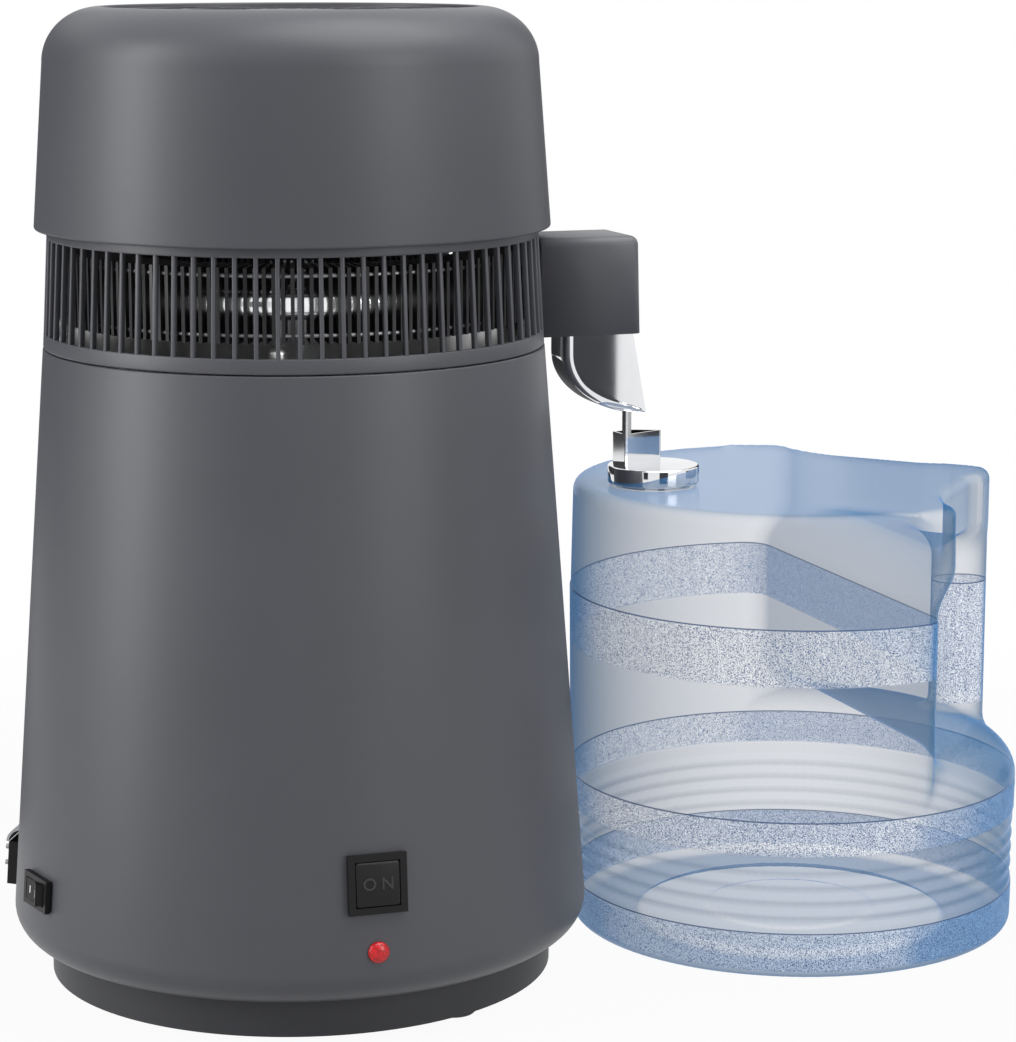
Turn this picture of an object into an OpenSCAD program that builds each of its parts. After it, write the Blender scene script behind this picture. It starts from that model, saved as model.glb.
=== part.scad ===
// Countertop water distiller: a heated boiler, a lift-off head with fan and condenser, and a jug.
// Millimetres, +Z up, worktop at Z = 0. The spout points along +X and the start button faces -Y.
// X = 0 is the middle of the set, so the boiler's axis lies at X = boiler_x.

/* [Casing] */
// Widest diameter of the casing
casing_d = 227.6; // [215:0.2:240]
// Diameter of the casing at its top edge
casing_top_d = 194.8; // [188:0.2:202]
// Height of the casing
casing_h = 233; // [215:0.5:250]
// Wall of the casing
casing_wall = 2.4; // [1.6:0.1:3]
// Radius of the rounded lower edge
casing_round = 13.5; // [8:0.5:16]
// Width of the flange that closes the casing's lower edge
casing_flange_w = 13; // [11:0.5:18]

/* [Base] */
// How far the plinth stands back from the casing's rounded edge
plinth_in = 0.8; // [0:0.1:3]
// Height of the plinth
plinth_h = 15; // [11:0.5:20]
// Side wall of the plinth
plinth_wall = 2.5; // [1.5:0.1:4]
// Floor of the plinth
plinth_floor = 2.5; // [2:0.1:4]
// Diameter of a rubber foot
foot_d = 19; // [14:0.5:22]
// Height of a rubber foot
foot_h = 4; // [3:0.2:8]
// Diameter of the stem that holds a foot
foot_stem_d = 6; // [4:0.2:8]
// Distance of a foot's middle from the plinth's edge
foot_in = 14.5; // [12:0.5:24]
// Direction of the first foot
foot_turn = -62.5; // [-70:0.5:-55]
// Distance of a base screw from the plinth's edge
base_screw_in = 6.5; // [5.5:0.1:7]
// Diameter of a base screw
base_screw_d = 3; // [2.5:0.1:4]
// Diameter of a base screw's boss
base_boss_d = 7; // [5.4:0.1:7.4]

/* [Pot and heater] */
// Gap between the pot and the casing's top edge
pot_in = 12.4; // [11.5:0.1:16]
// Least gap between the pot and the start switch's body
pot_gap = 4; // [3:0.2:6]
// Sheet of the pot
pot_wall = 1.2; // [0.8:0.1:1.6]
// Outer height of the pot
pot_h = 186; // [170:1:190]
// Radius of the pot's lower edge
pot_round = 5; // [4:0.5:12]
// How far the cast heater plate stands back from the pot's side
heater_in = 15; // [12:0.5:20]
// Thickness of the heater plate
heater_h = 6; // [4:0.5:8]
// Distance of the heating element's ring from the heater plate's edge
element_in = 18; // [14:0.5:26]
// Diameter of the heating element's tube
element_tube_d = 8; // [6:0.2:9]
// Diameter of the element's cold ends
element_end_d = 5; // [4:0.2:5.6]
// How far the disc that holds the element up reaches past it
clamp_lip = 5; // [2:0.5:8]
// Sheet of the clamp
clamp_h = 1.6; // [1:0.1:2.5]
// Diameter of the stud that holds the clamp
stud_d = 6; // [4:0.5:8]
// Height of the stud's nut
stud_nut_h = 5; // [4:0.5:6]
// Diameter of a thermostat
thermostat_d = 16; // [12:0.5:20]
// Length of a thermostat
thermostat_l = 9; // [6:0.5:11]
// Height of the thermostats above the pot's floor
thermostat_up = 24; // [22:1:60]

/* [Start button and lamp] */
// Direction of the start button around the boiler
button_turn = -91; // [-100:0.5:-80]
// Height of the start button above the worktop
button_z = 65.6; // [60:0.2:80]
// Width of the bezel around the switch body
bezel_lip = 1.4; // [0.8:0.1:2.5]
// How far the bezel stands off the casing
bezel_t = 2.2; // [1.5:0.1:3]
// Wall of the switch body around the button
button_wall = 1.2; // [0.8:0.1:2]
// Depth of the switch body behind the casing
button_body_l = 19; // [17:0.5:20]
// Side of the moving button
button_w = 16.8; // [15:0.1:17.4]
// Length of the moving button
button_l = 11; // [9:0.5:12]
// How far the button stands out of its bezel
button_proud = 0.5; // [0.2:0.1:1.5]
// Travel of the button
button_travel = 3; // [1.5:0.1:3.5]
// Height of the pilot lamp above the worktop
lamp_z = 39.7; // [36:0.1:44]
// Diameter of the lamp's lens
lamp_d = 8; // [7.4:0.1:9]
// Height of the lens
lamp_dome = 2.6; // [1.5:0.1:3]
// How far the lens laps the casing around its sleeve
lamp_lip = 0.7; // [0.5:0.1:1]
// Length of the sleeve behind the casing
lamp_sleeve_l = 14; // [10:0.5:18]

/* [Rocker switch] */
// Direction of the rocker switch around the boiler
rocker_turn = -168; // [-172:0.5:-155]
// Height of the rocker switch above the worktop
rocker_z = 48; // [44:0.2:56]
// Width of the bezel around the switch body
rocker_lip = 0.9; // [0.6:0.1:2]
// Wall of the switch body around the rocker
rocker_wall = 1.1; // [1:0.1:2]
// Free space at each end of the rocker
rocker_gap = 1.2; // [1:0.1:2]
// Depth of the switch body behind the casing
rocker_body_l = 14; // [11:0.5:18]
// Width of the rocker
rocker_w = 14.4; // [12:0.1:18]
// Height of the rocker
rocker_h = 8.2; // [6:0.1:10]
// Angle between the rocker's two ends of travel
rocker_throw = 18; // [10:1:20]
// Diameter of the rocker's pivot
rocker_pin_d = 2.4; // [1.8:0.1:3]

/* [Power inlet] */
// Direction of the power inlet around the boiler
inlet_turn = 152; // [145:0.5:165]
// Height of the inlet's middle above the worktop
inlet_z = 40; // [38:0.2:56]
// Width of the inlet block
inlet_w = 24; // [20:0.5:28]
// Height of the inlet block
inlet_h = 17.6; // [15:0.2:20]
// How far the inlet block stands out of the casing
inlet_out = 5.2; // [3:0.2:7]
// Depth of the inlet block behind the casing
inlet_in = 12; // [8:0.5:16]
// Flange of the inlet block around its body
inlet_lip = 1; // [0.8:0.1:2]
// Diameter of a contact pin
inlet_pin_d = 2; // [1.6:0.1:3]
// How far a pin stands out of the block
inlet_pin_out = 1.8; // [1:0.1:4]
// Distance between the two pins
inlet_pin_gap = 6.6; // [5:0.1:8]
// Distance of the pins from the block's near side
inlet_pin_edge = 3; // [2.4:0.1:10]
// Height of the guard over the block
guard_h = 6; // [4:0.2:8]
// Sheet of the guard
guard_t = 1; // [0.6:0.1:1.2]

/* [Vent ring] */
// How far the vent ring's lower edge stands back from the casing
vent_in = 0.2; // [0:0.1:2]
// How far the vent ring leans in over its height
vent_taper = 2.5; // [0.5:0.1:3.5]
// Height of the vent ring
vent_h = 47; // [45:0.5:56]
// Wall of the vent ring
vent_wall = 2.2; // [1.6:0.1:2.6]
// Height of the closed band below the slots
vent_band_low = 5.8; // [4.5:0.1:7]
// Height of the closed band above the slots
vent_band_top = 5; // [4.5:0.1:7]
// Number of bars around the ring
bar_count = 76; // [40:4:96]
// Width of a bar
bar_w = 1.6; // [1.2:0.1:2.4]
// How far the vent ring's two flanges keep off the pot's side
vent_flange_gap = 1.5; // [1:0.1:2]
// Thickness of the vent ring's two flanges
vent_flange_t = 2; // [1.5:0.1:2.5]

/* [Top cover] */
// How far the cover's rim reaches past the vent ring
cover_over = 5; // [3.4:0.1:7]
// How far the cover leans in up to its shoulder
cover_taper = 4.6; // [1:0.1:6]
// Height of the cover
cover_h = 84; // [76:0.2:95]
// Wall of the cover
cover_wall = 2.2; // [1.6:0.1:2.6]
// Height of the cover's rounded shoulder
shoulder_h = 21; // [14:0.5:24]
// Width of the cover's rounded shoulder
shoulder_w = 22.5; // [18:0.5:25]
// How far the rim hangs below the vent ring's upper edge
cover_lap = 1.4; // [0.8:0.1:2]
// How far the ledge that seats the cover lies over the vent ring
cover_ledge_in = 4.2; // [3:0.1:5]
// Thickness of that ledge
cover_ledge_t = 3; // [2:0.2:5]
// Depth of the round recess in the top
recess_depth = 4; // [3.2:0.2:7]
// Width of the ledge that the grille lies on
recess_ledge_w = 4; // [2.5:0.5:6]
// Thickness of the recess's floor
recess_floor = 2.4; // [1.6:0.1:3]
// Thickness of the top grille
grille_t = 2.6; // [1.6:0.1:3]
// Width of the grille's rings
grille_ring_w = 3; // [2:0.5:6]
// Number of vanes in the grille
vane_count = 36; // [16:2:48]
// Width of a vane
vane_w = 1.8; // [1:0.1:2.4]
// Diameter of the grille's middle disc
grille_hub_d = 34; // [24:1:44]

/* [Chamber lid] */
// Gap between the lid plate and the vent ring's wall
lid_gap = 1.3; // [0.8:0.1:2]
// Sheet of the lid plate
lid_t = 1.2; // [0.8:0.1:2]
// Depth of the skirt that enters the pot
lid_skirt_h = 8; // [6:0.5:12]
// Sheet of the skirt
lid_skirt_t = 1.2; // [0.8:0.1:1.6]
// Width of the seal around the skirt
seal_w = 0.9; // [0.6:0.1:1.6]
// Height of the seal
seal_h = 4; // [3:0.2:5]
// Gap between the seal and the pot
seal_gap = 0.3; // [0.2:0.05:0.5]
// Wall of the steam neck
neck_wall = 1.3; // [0.8:0.1:2]
// Height of the steam neck above the lid plate
neck_h = 7; // [3:0.5:9]
// Direction of the first lid nut
lid_nut_turn = -19.2; // [-40:0.2:-15]
// Diameter of a lid nut
lid_nut_d = 7; // [6:0.2:7.4]
// Height of a lid nut
lid_nut_h = 6; // [4:0.2:6.5]
// Diameter of a lid nut's stud
lid_stud_d = 3; // [2.4:0.1:3.6]

/* [Condenser] */
// Distance of the condenser tube's middle from the vent ring's upper edge
coil_in = 14.7; // [13:0.1:18]
// Outer diameter of the condenser tube
coil_tube_d = 11.6; // [9:0.2:12]
// Radius of the tube's bends
coil_bend = 14; // [12:0.5:18]
// Direction of the leg that comes from the steam neck
coil_inlet_turn = 14; // [13:0.5:20]
// Distance of the tube's falling leg from the arm's end
drop_in = 11.6; // [10:0.2:14]
// Height of the tube's lower end above the spout's tip
drop_end_up = 13; // [9:0.5:20]
// Number of fin places around the ring
fin_count = 160; // [90:10:180]
// Thickness of a fin
fin_t = 1.4; // [0.6:0.1:1.6]
// Depth of a fin
fin_w = 18; // [15:0.5:20]
// Gap between a fin and the upper or lower end of the vent slots
fin_gap = 4.2; // [3.8:0.1:6]
// How far a fin reaches outward past the tube's middle
fin_out = 8; // [7:0.5:10]
// Diameter of the wires that tie the fins
fin_wire_d = 1.6; // [1:0.1:2]
// Distance of a wire from the fins' outer edges
fin_wire_in = 1.8; // [1.6:0.1:2]
// Distance of a wire from the fins' upper or lower edges
fin_wire_edge = 3; // [2.2:0.1:5]

/* [Fan] */
// Sheet of the motor bracket
bracket_t = 3; // [2:0.2:4]
// Width of the bracket's ring
bracket_ring_w = 6; // [5:0.5:9]
// Width of the bracket's arms
bracket_arm_w = 12; // [8:0.5:18]
// How far the bracket's middle plate reaches past the motor
bracket_lip = 3; // [1:0.5:8]
// Diameter of the motor
motor_d = 48; // [42:1:54]
// Height of the motor
motor_h = 26; // [18:0.5:32]
// Distance of a motor screw from the motor's edge
motor_screw_edge = 7; // [5:0.5:9]
// Diameter of a motor screw
motor_screw_d = 3; // [2:0.1:4]
// Diameter of the fan shaft
shaft_d = 5; // [4:0.1:6]
// Running clearance around the shaft
shaft_fit = 0.05; // [0.02:0.01:0.1]
// Gap between the blades and the cover's shoulder
fan_in = 19.1; // [8:0.1:30]
// Diameter of the fan's hub
hub_d = 40; // [30:1:50]
// Height of the fan's hub
hub_h = 16; // [15.4:0.2:18]
// Gap between motor and hub
hub_gap = 3; // [1:0.2:6]
// Number of fan blades
blade_count = 7; // [5:1:7]
// Chord of a blade
blade_w = 26; // [16:0.5:28]
// Sheet of a blade
blade_t = 1.6; // [1.2:0.1:2.4]
// Pitch of a blade
blade_pitch = 30; // [20:1:32]
// Height of the nut that holds the fan
fan_nut_h = 4; // [3:0.2:6]
// Direction of the fan socket around the head
socket_turn = 120; // [90:1:145]
// Height of the fan socket above the cover's rim
socket_up = 20; // [14:0.5:40]
// Width of the fan socket's bezel
socket_w = 21; // [18:0.5:26]
// Height of the fan socket's bezel
socket_h = 15; // [13:0.5:20]
// How far the socket's bezel stands off the cover
socket_t = 1.6; // [1:0.1:2.5]
// Bezel's width around the socket's body
socket_lip = 1.6; // [1.2:0.1:2.5]
// Depth of the socket behind the cover
socket_l = 10; // [8:0.5:14]

/* [Arm and spout] */
// Width of the arm
arm_w = 35; // [32:0.5:40]
// Distance of the arm's top below the vent ring's upper edge
arm_top_in = 8; // [3:0.2:8]
// How far the arm reaches out from the vent ring
arm_l = 41.4; // [38:0.2:46]
// Wall of the arm
arm_wall = 1.8; // [1.2:0.1:2]
// Lean of the arm's end face
arm_lean = 1.5; // [0:0.5:4]
// Radius of the arm's upper edges
arm_round = 4; // [2:0.5:6]
// Height of the rails that carry the spout above the arm's lower edge
rail_up = 6; // [4:0.5:8]
// Size of those rails
rail_w = 2; // [1.5:0.1:2.5]
// Width of the spout
spout_w = 19.2; // [17:0.2:22]
// Sheet of the spout
spout_t = 1; // [0.6:0.1:1.4]
// Distance of the spout's back wall from the arm's end
spout_l = 29.4; // [27:0.2:34]
// How far the spout's tip reaches past the arm's end
tip_out = 4.8; // [1:0.2:8]
// Height of the spout's curve
spout_curve_h = 24.6; // [14:0.2:28]

/* [Jug] */
// Gap between the jug and the casing's widest edge
jug_gap = 7; // [2:0.2:12]
// Diameter of the jug at its upper band
jug_d = 187.8; // [178:0.2:196]
// How far the lower part's top edge stands back from the upper band
waist_in = 0.5; // [0.2:0.1:3]
// How far the foot stands back from the upper band
jug_foot_in = 1.4; // [0.6:0.1:6]
// Height of the jug
jug_h = 187; // [176:0.5:200]
// Wall of the jug
jug_wall = 2; // [1.4:0.1:2.4]
// Height of the top of the jug's lower part
waist_z = 64.7; // [60:0.2:70]
// Rise of the shoulder above the lower part
saddle_h = 19.5; // [12:0.5:24]
// Width of the shoulder's curve
saddle_w = 30; // [20:0.5:40]
// Depth of the upper band's top line below the jug's top
band_drop = 45; // [37:0.5:65]
// Radius of the jug's upper edge
jug_round = 5; // [3:0.5:8]
// Radius of the jug's lower edge
jug_foot_round = 5; // [2:0.5:6]
// Height of the lowest groove
groove_z = 23.7; // [20:0.1:26]
// Distance between grooves
groove_pitch = 6.2; // [5:0.1:7]
// Number of grooves
groove_count = 4; // [2:1:5]
// Depth of a groove
groove_depth = 1.2; // [0.4:0.1:1.6]
// Rise of the jug's base inside its standing ring
punt_h = 3; // [2:0.2:6]
// Width of the ring that the jug stands on
punt_in = 27.5; // [15:0.5:40]
// Width of the gap for the fingers
finger_w = 40; // [34:0.5:44]
// Radius of the handle
handle_r = 12; // [10.5:0.5:13]
// How far the handle stands back from the lower part's edge
handle_in = 4.9; // [4.5:0.1:8]
// Spread of the handle's root over the handle
root_spread = 4; // [2:0.5:4]
// Height of the handle's root above the lower part
root_h = 26; // [22:0.5:30]
// How far the flat wall steps out above the bridge's underside
shelf_out = 9; // [4:0.5:12]
// How far the bridge stands back from the ends of the flat wall
bridge_in = 20.6; // [14:0.2:28]
// Radius of the bridge's end above the handle
bridge_end_r = 22; // [18:0.5:24]
// Depth of the bridge between jug and handle
bridge_h = 24; // [16:0.5:30]

/* [Cap] */
// Distance of the mouth's axis from the spout's tip
drip_lead = 9; // [5:0.2:12]
// Sideways place of the mouth's axis
mouth_y = 4; // [-4:0.5:5]
// How far the cap reaches past its plug
cap_lap = 3.7; // [3:0.1:6]
// Height of the cap above the neck
cap_h = 7.2; // [5:0.2:8]
// Height of the neck above the jug's top
lip_h = 1.4; // [0.8:0.1:2]
// Wall of the neck around the mouth
lip_w = 2.4; // [1.6:0.1:2.8]
// Diameter of the plug that enters the mouth
plug_d = 30; // [28:0.2:33]
// Depth of the plug below the cap
plug_l = 6; // [5:0.5:10]
// Clearance around the plug
plug_fit = 0.3; // [0.2:0.05:0.5]
// Diameter of the hole that lets the water in
drip_d = 6.4; // [6.2:0.1:6.6]
// Distance of that hole from the plug's edge
drip_edge = 1.2; // [0.8:0.1:2]
// Direction of that hole
drip_turn = 123; // [120:0.5:126]
// Sheet of the folded drip guide
guide_t = 0.8; // [0.5:0.1:0.9]
// Height of the folded drip guide
guide_h = 12.4; // [9:0.2:13]
// Width of the guide's tongue
tongue_w = 4.4; // [3:0.2:5.4]
// Height of the guide's tongue
tongue_h = 22.8; // [16:0.2:24]
// Gap between the tongue and the spout's tip
tongue_gap = 1; // [0.6:0.1:3]

/* [Hidden] */
$fn = 96;
// Free space around a piece in its hole
fit = 0.2;
// Free space between two pieces that only lie side by side
side_gap = 0.1;
// Gap between the boiler and the head that sits on it
seat_gap = 0.4;
// How far a cutting shape runs past the face that it opens
over = 1;

casing_r = casing_d / 2;
casing_top_r = casing_top_d / 2;
plinth_d = casing_d - 2 * (casing_round + plinth_in);
foot_circle_d = plinth_d - 2 * foot_in;
base_screw_circle_d = plinth_d - 2 * base_screw_in;
z_casing = foot_h + plinth_h;
z_round = z_casing + casing_round;
z_seat = z_casing + casing_h;
casing_lean = atan((casing_r - casing_top_r) / (z_seat - z_round));
foot_count = 3;
base_screw_count = 3;
base_screw_turn = foot_turn + 60;
base_screw_head_d = 2 * base_screw_d;
base_screw_head_h = 0.6 * base_screw_d;
base_screw_end = casing_wall + 2;

pot_r = min(casing_top_r - pot_in, casing_r_at(button_z) - button_body_l - pot_gap);
pot_d = 2 * pot_r;
heater_d = pot_d - 2 * heater_in;
element_ring_d = heater_d - 2 * element_in;
clamp_d = element_ring_d + element_tube_d + 2 * clamp_lip;
pot_rim_r = casing_top_r - casing_wall / 2 - fit;
z_pot = z_seat - pot_h;
z_heater = z_pot - heater_h;
z_element = z_heater - element_tube_d / 2 - side_gap;
z_clamp = z_element - element_tube_d / 2 - side_gap - clamp_h;
element_span = 320;
element_end_l = 22;
stud_tail = 2;
thermostat_turns = [75, 105];
thermostat_cap_l = thermostat_l / 3;
thermostat_body_d = 0.8 * thermostat_d;

button_body_w = button_w + 2 * (fit + button_wall);
bezel_w = button_body_w + 2 * bezel_lip;
lamp_sleeve_d = lamp_d - 2 * lamp_lip;
lamp_bore_d = 0.7 * lamp_sleeve_d;
lamp_edge = 0.5;
rocker_pocket_w = rocker_w + 2 * rocker_gap;
rocker_pocket_h = rocker_h + 2 * fit;
rocker_body_w = rocker_pocket_w + 2 * rocker_wall;
rocker_body_h = rocker_pocket_h + 2 * rocker_wall;
rocker_bezel_w = rocker_body_w + 2 * rocker_lip;
rocker_bezel_h = rocker_body_h + 2 * rocker_lip;
rocker_tilt = rocker_throw / 2;
rocker_rise = 1.4;
rocker_depth = 5;
rocker_pin_in = 0.6;
// How far the rocker's edges and its heel stand back from its ends
rocker_nose = 0.6;
rocker_heel = 2.2;
inlet_pin_tail = 2;
guard_r = inlet_out + guard_t;

z_head = z_seat + seat_gap;
vent_r = casing_top_r - vent_in;
vent_top_r = vent_r - vent_taper;
vent_flange_r = pot_r + vent_flange_gap;
z_slot = z_head + vent_band_low;
z_slot_top = z_head + vent_h - vent_band_top;
z_vent_top = z_head + vent_h;
arm_turn = asin((arm_w / 2 + bar_w) / vent_top_r);

z_lid = z_head + vent_flange_t;
lid_skirt_r = pot_r - pot_wall - seal_gap - seal_w;
lid_r = vent_r - vent_wall - lid_gap;
lid_nut_count = 4;
lid_nut_circle_r = (vent_flange_r + lid_r) / 2;

z_arm = z_head;
arm_x = vent_r + arm_l;
arm_h = vent_h - arm_top_in;
arm_inner_w = arm_w - 2 * arm_wall;
z_rail = z_arm + rail_up;
z_cap = jug_h + lip_h;
z_guide = z_cap + cap_h;
z_tip = z_guide + tongue_h + tongue_gap;
tip_x = arm_x + tip_out;
spout_x = arm_x - spout_l;
spout_curve = min(spout_curve_h, z_arm - z_tip);
z_spout_top = z_rail + rail_w + spout_t;
// The spout's outer edge inside the arm, and just below it
spout_end_x = arm_x - arm_wall - 2 * fit - (z_spout_top - z_arm) * tan(arm_lean);
spout_lip_x = arm_x - arm_wall / 2;

z_coil = (z_slot + z_slot_top) / 2;
coil_r = vent_top_r - coil_in;
drop_x = arm_x - drop_in;
coil_tube_r = coil_tube_d / 2;
neck_r = coil_tube_r + fit;
coil_in_turn = asin(coil_bend / (coil_r - coil_bend));
coil_out_turn = asin(coil_bend / (coil_r + coil_bend));
coil_start = coil_inlet_turn + coil_in_turn;
coil_span = 360 - coil_out_turn - coil_start;
coil_steps = 65;
coil_bend_steps = 8;
coil_sides = 12;
coil_step = coil_span / coil_steps;
coil_z_bend = z_coil - coil_bend;
coil_leg_end = (coil_r - coil_bend) * cos(coil_in_turn);
coil_out_x = (coil_r + coil_bend) * cos(coil_out_turn);
coil_in_dir = [cos(coil_inlet_turn), sin(coil_inlet_turn), 0];
coil_in_side = [-sin(coil_inlet_turn), cos(coil_inlet_turn), 0];
x_dir = [1, 0, 0];
y_dir = [0, 1, 0];
z_dir = [0, 0, 1];
// From the steam neck up, out to the ring, round it, out into the arm and down into the spout
coil_neck_centre = coil_bend * coil_in_dir + coil_z_bend * z_dir;
coil_leg_centre = coil_leg_end * coil_in_dir + coil_bend * coil_in_side + z_coil * z_dir;
coil_out_centre = [coil_out_x, -coil_bend, z_coil];
coil_drop_centre = [drop_x - coil_bend, 0, coil_z_bend];
coil_from = coil_start + coil_step;
coil_to = coil_start + coil_span - coil_step;
coil_path = concat(
    [z_lid * z_dir],
    bend(coil_neck_centre, coil_in_dir, z_dir, coil_bend, 180, 90, coil_bend_steps),
    bend(coil_leg_centre, coil_in_dir, coil_in_side, coil_bend, -90, coil_in_turn, coil_bend_steps),
    bend(z_coil * z_dir, x_dir, y_dir, coil_r, coil_from, coil_to, coil_steps - 2),
    bend(coil_out_centre, x_dir, y_dir, coil_bend, 180 - coil_out_turn, 90, coil_bend_steps),
    bend(coil_drop_centre, x_dir, z_dir, coil_bend, 90, 0, coil_bend_steps),
    [[drop_x, 0, z_tip + drop_end_up]]
);
echo(least_gap_of_condenser_tube = least_gap(coil_path, coil_tube_d, 2 * coil_bend_steps));
fin_step = 360 / fin_count;
fin_room = asin(fin_t / coil_r);
fin_first = ceil((coil_start + fin_room) / fin_step);
fin_last = floor((360 - coil_out_turn - fin_room) / fin_step);
fin_h = z_slot_top - z_slot - 2 * fin_gap;
fin_outer_r = coil_r + fin_out;
fin_wire_r = fin_outer_r - fin_wire_in;
fin_wire_zs = [z_coil - fin_h / 2 + fin_wire_edge, z_coil + fin_h / 2 - fin_wire_edge];

cover_r = vent_top_r + cover_over;
cover_top_r = cover_r - cover_taper;
cover_ledge_r = vent_top_r - cover_ledge_in;
z_cover = z_vent_top - cover_lap;
z_cover_top = z_cover + cover_h;
z_shoulder = z_cover_top - shoulder_h;
shoulder_r = cover_top_r - shoulder_w;
shoulder_flat = 0.4;
recess_r = shoulder_r - shoulder_flat;
recess_opening_r = recess_r - recess_ledge_w;
grille_ring_r = (grille_hub_d / 2 + recess_opening_r) / 2;
z_recess = z_cover_top - recess_depth;
cover_lean = atan((cover_r - cover_top_r) / (z_shoulder - z_cover));
grille_r = recess_r - fit;
// How far a vane lies inside the grille's two faces
vane_in = 0.4;
rim_bevel = 1.2;
// Where the inner side of the shoulder begins
shoulder_open = 75;
socket_slot = [2, 5];
socket_slot_gap = 7;

bracket_r = cover_ledge_r - fit;
bracket_hub_d = motor_d + 2 * bracket_lip;
bracket_arm_count = 3;
z_motor = z_vent_top + bracket_t;
motor_screw_circle_d = motor_d - 2 * motor_screw_edge;
motor_screw_in = 6;
motor_screw_head_d = 2 * motor_screw_d;
motor_screw_head_h = 0.7 * motor_screw_d;
shaft_in = 20;
z_hub = z_motor + motor_h + hub_gap;
fan_r = cover_top_r - fan_in;
fan_nut_d = 2 * shaft_d;
shaft_tail = 1;

jug_r = jug_d / 2;
jug_waist_r = jug_r - waist_in;
jug_foot_r = jug_r - jug_foot_in;
jug_top_r = jug_r - jug_wall / 2;
jug_x = casing_r + jug_gap + jug_r;
punt_r = jug_foot_r - punt_in;
band_z = jug_h - band_drop;
handle_x = jug_waist_r - handle_in - handle_r;
flat_x = handle_x - handle_r - finger_w;
shelf_x = flat_x + shelf_out;
bridge_end_x = handle_x + handle_r - bridge_end_r;
bridge_w = sqrt(jug_r ^ 2 - shelf_x ^ 2) - bridge_in;
z_bridge = jug_h - bridge_h;
z_root = waist_z + root_h;
mouth_r = plug_d / 2 + plug_fit;
mouth_x = jug_x - tip_x - drip_lead;
cap_d = plug_d + 2 * cap_lap;
drip_r = (plug_d - drip_d) / 2 - drip_edge;
// Corners of the folded guide on the cap, from its front edge round to the left
guide_outline = [[-11.3, 2], [6.4, 9.6], [-3.6, 14.2], [-12.6, 12]];

boiler_x = -(jug_x + jug_waist_r - casing_r - bezel_t) / 2;

c_case = [0.47, 0.47, 0.5];
c_black = [0.08, 0.08, 0.09];
c_rubber = [0.05, 0.05, 0.05];
c_steel = [0.78, 0.79, 0.8];
c_alloy = [0.62, 0.63, 0.65];
c_red = [0.75, 0.06, 0.06];
c_seal = [0.88, 0.86, 0.82];
c_jug = [0.35, 0.6, 0.85, 0.5];

// Outer radius of the casing at a height
function casing_r_at(z) = casing_r - (z - z_round) * tan(casing_lean);

// Outer radius of the vent ring at a height
function vent_r_at(z) = vent_r - (z - z_head) * (vent_r - vent_top_r) / vent_h;

// Outer radius of the cover at a height
function cover_r_at(z) = cover_r - (z - z_cover) * tan(cover_lean);

// Points on an arc of an ellipse
function arc(centre, rx, ry, from, to, steps = 8) = [
    for (i = [0:steps])
        let (a = from + (to - from) * i / steps)
        centre + [rx * cos(a), ry * sin(a)]
];

function unit(v) = v / norm(v);

// The direction v, turned square to the direction d
function square_to(v, d) = unit(v - (v * d) * d);

// Points along a bend in the plane of the two directions u and v
function bend(centre, u, v, radius, from, to, steps) = [
    for (i = [0:steps])
        let (a = from + (to - from) * i / steps)
        centre + radius * (cos(a) * u + sin(a) * v)
];

// Least distance between two stretches of a tube that are at least skip points apart
function least_gap(path, tube_d, skip) = min([
    for (i = [0:len(path) - 1 - skip], j = [i + skip:len(path) - 1]) norm(path[i] - path[j])
]) - tube_d;

// Outer radius of the jug between its foot and its upper edge
function jug_r_at(z) =
    z < waist_z
        ? jug_foot_r + (jug_waist_r - jug_foot_r) * z / waist_z
        : z < band_z
            ? jug_waist_r + (jug_r - jug_waist_r) * (z - waist_z) / (band_z - waist_z)
            : jug_r + (jug_top_r - jug_r) * (z - band_z) / (jug_h - band_z);

module at_boiler() {
    translate([boiler_x, 0, 0]) children();
}

module at_jug() {
    translate([boiler_x + jug_x, 0, 0]) children();
}

module at_mouth() {
    at_jug() translate([-mouth_x, mouth_y, 0]) children();
}

// Puts its children on the casing's surface: X points outward, Y sideways and Z up the wall
module on_casing(turn, z) {
    at_boiler()
        rotate([0, 0, turn])
            translate([casing_r_at(z), 0, z])
                rotate([0, -casing_lean, 0]) children();
}

// Puts its children on the cover's surface, in the same way
module on_cover(turn, z) {
    at_boiler()
        rotate([0, 0, turn])
            translate([cover_r_at(z), 0, z])
                rotate([0, -cover_lean, 0]) children();
}

module around(count, first = 0) {
    for (i = [0:count - 1])
        rotate([0, 0, first + 360 * i / count]) children();
}

// A box that begins at X = x0 and is centred on Y and Z
module slab(x0, x1, w, h) {
    translate([x0, -w / 2, -h / 2]) cube([x1 - x0, w, h]);
}

// A round bar along X
module bar(x0, x1, d) {
    translate([x0, 0, 0]) rotate([0, 90, 0]) cylinder(d = d, h = x1 - x0);
}

module ring(outer_d, inner_d, h) {
    difference() {
        cylinder(d = outer_d, h = h);
        translate([0, 0, -over]) cylinder(d = inner_d, h = h + 2 * over);
    }
}

// Holes of the base screws, used by the plate and by the casing
module base_screw_holes() {
    around(base_screw_count, base_screw_turn)
        translate([base_screw_circle_d / 2, 0, 0])
            cylinder(d = base_screw_d + 2 * fit, h = z_round);
}

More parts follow.
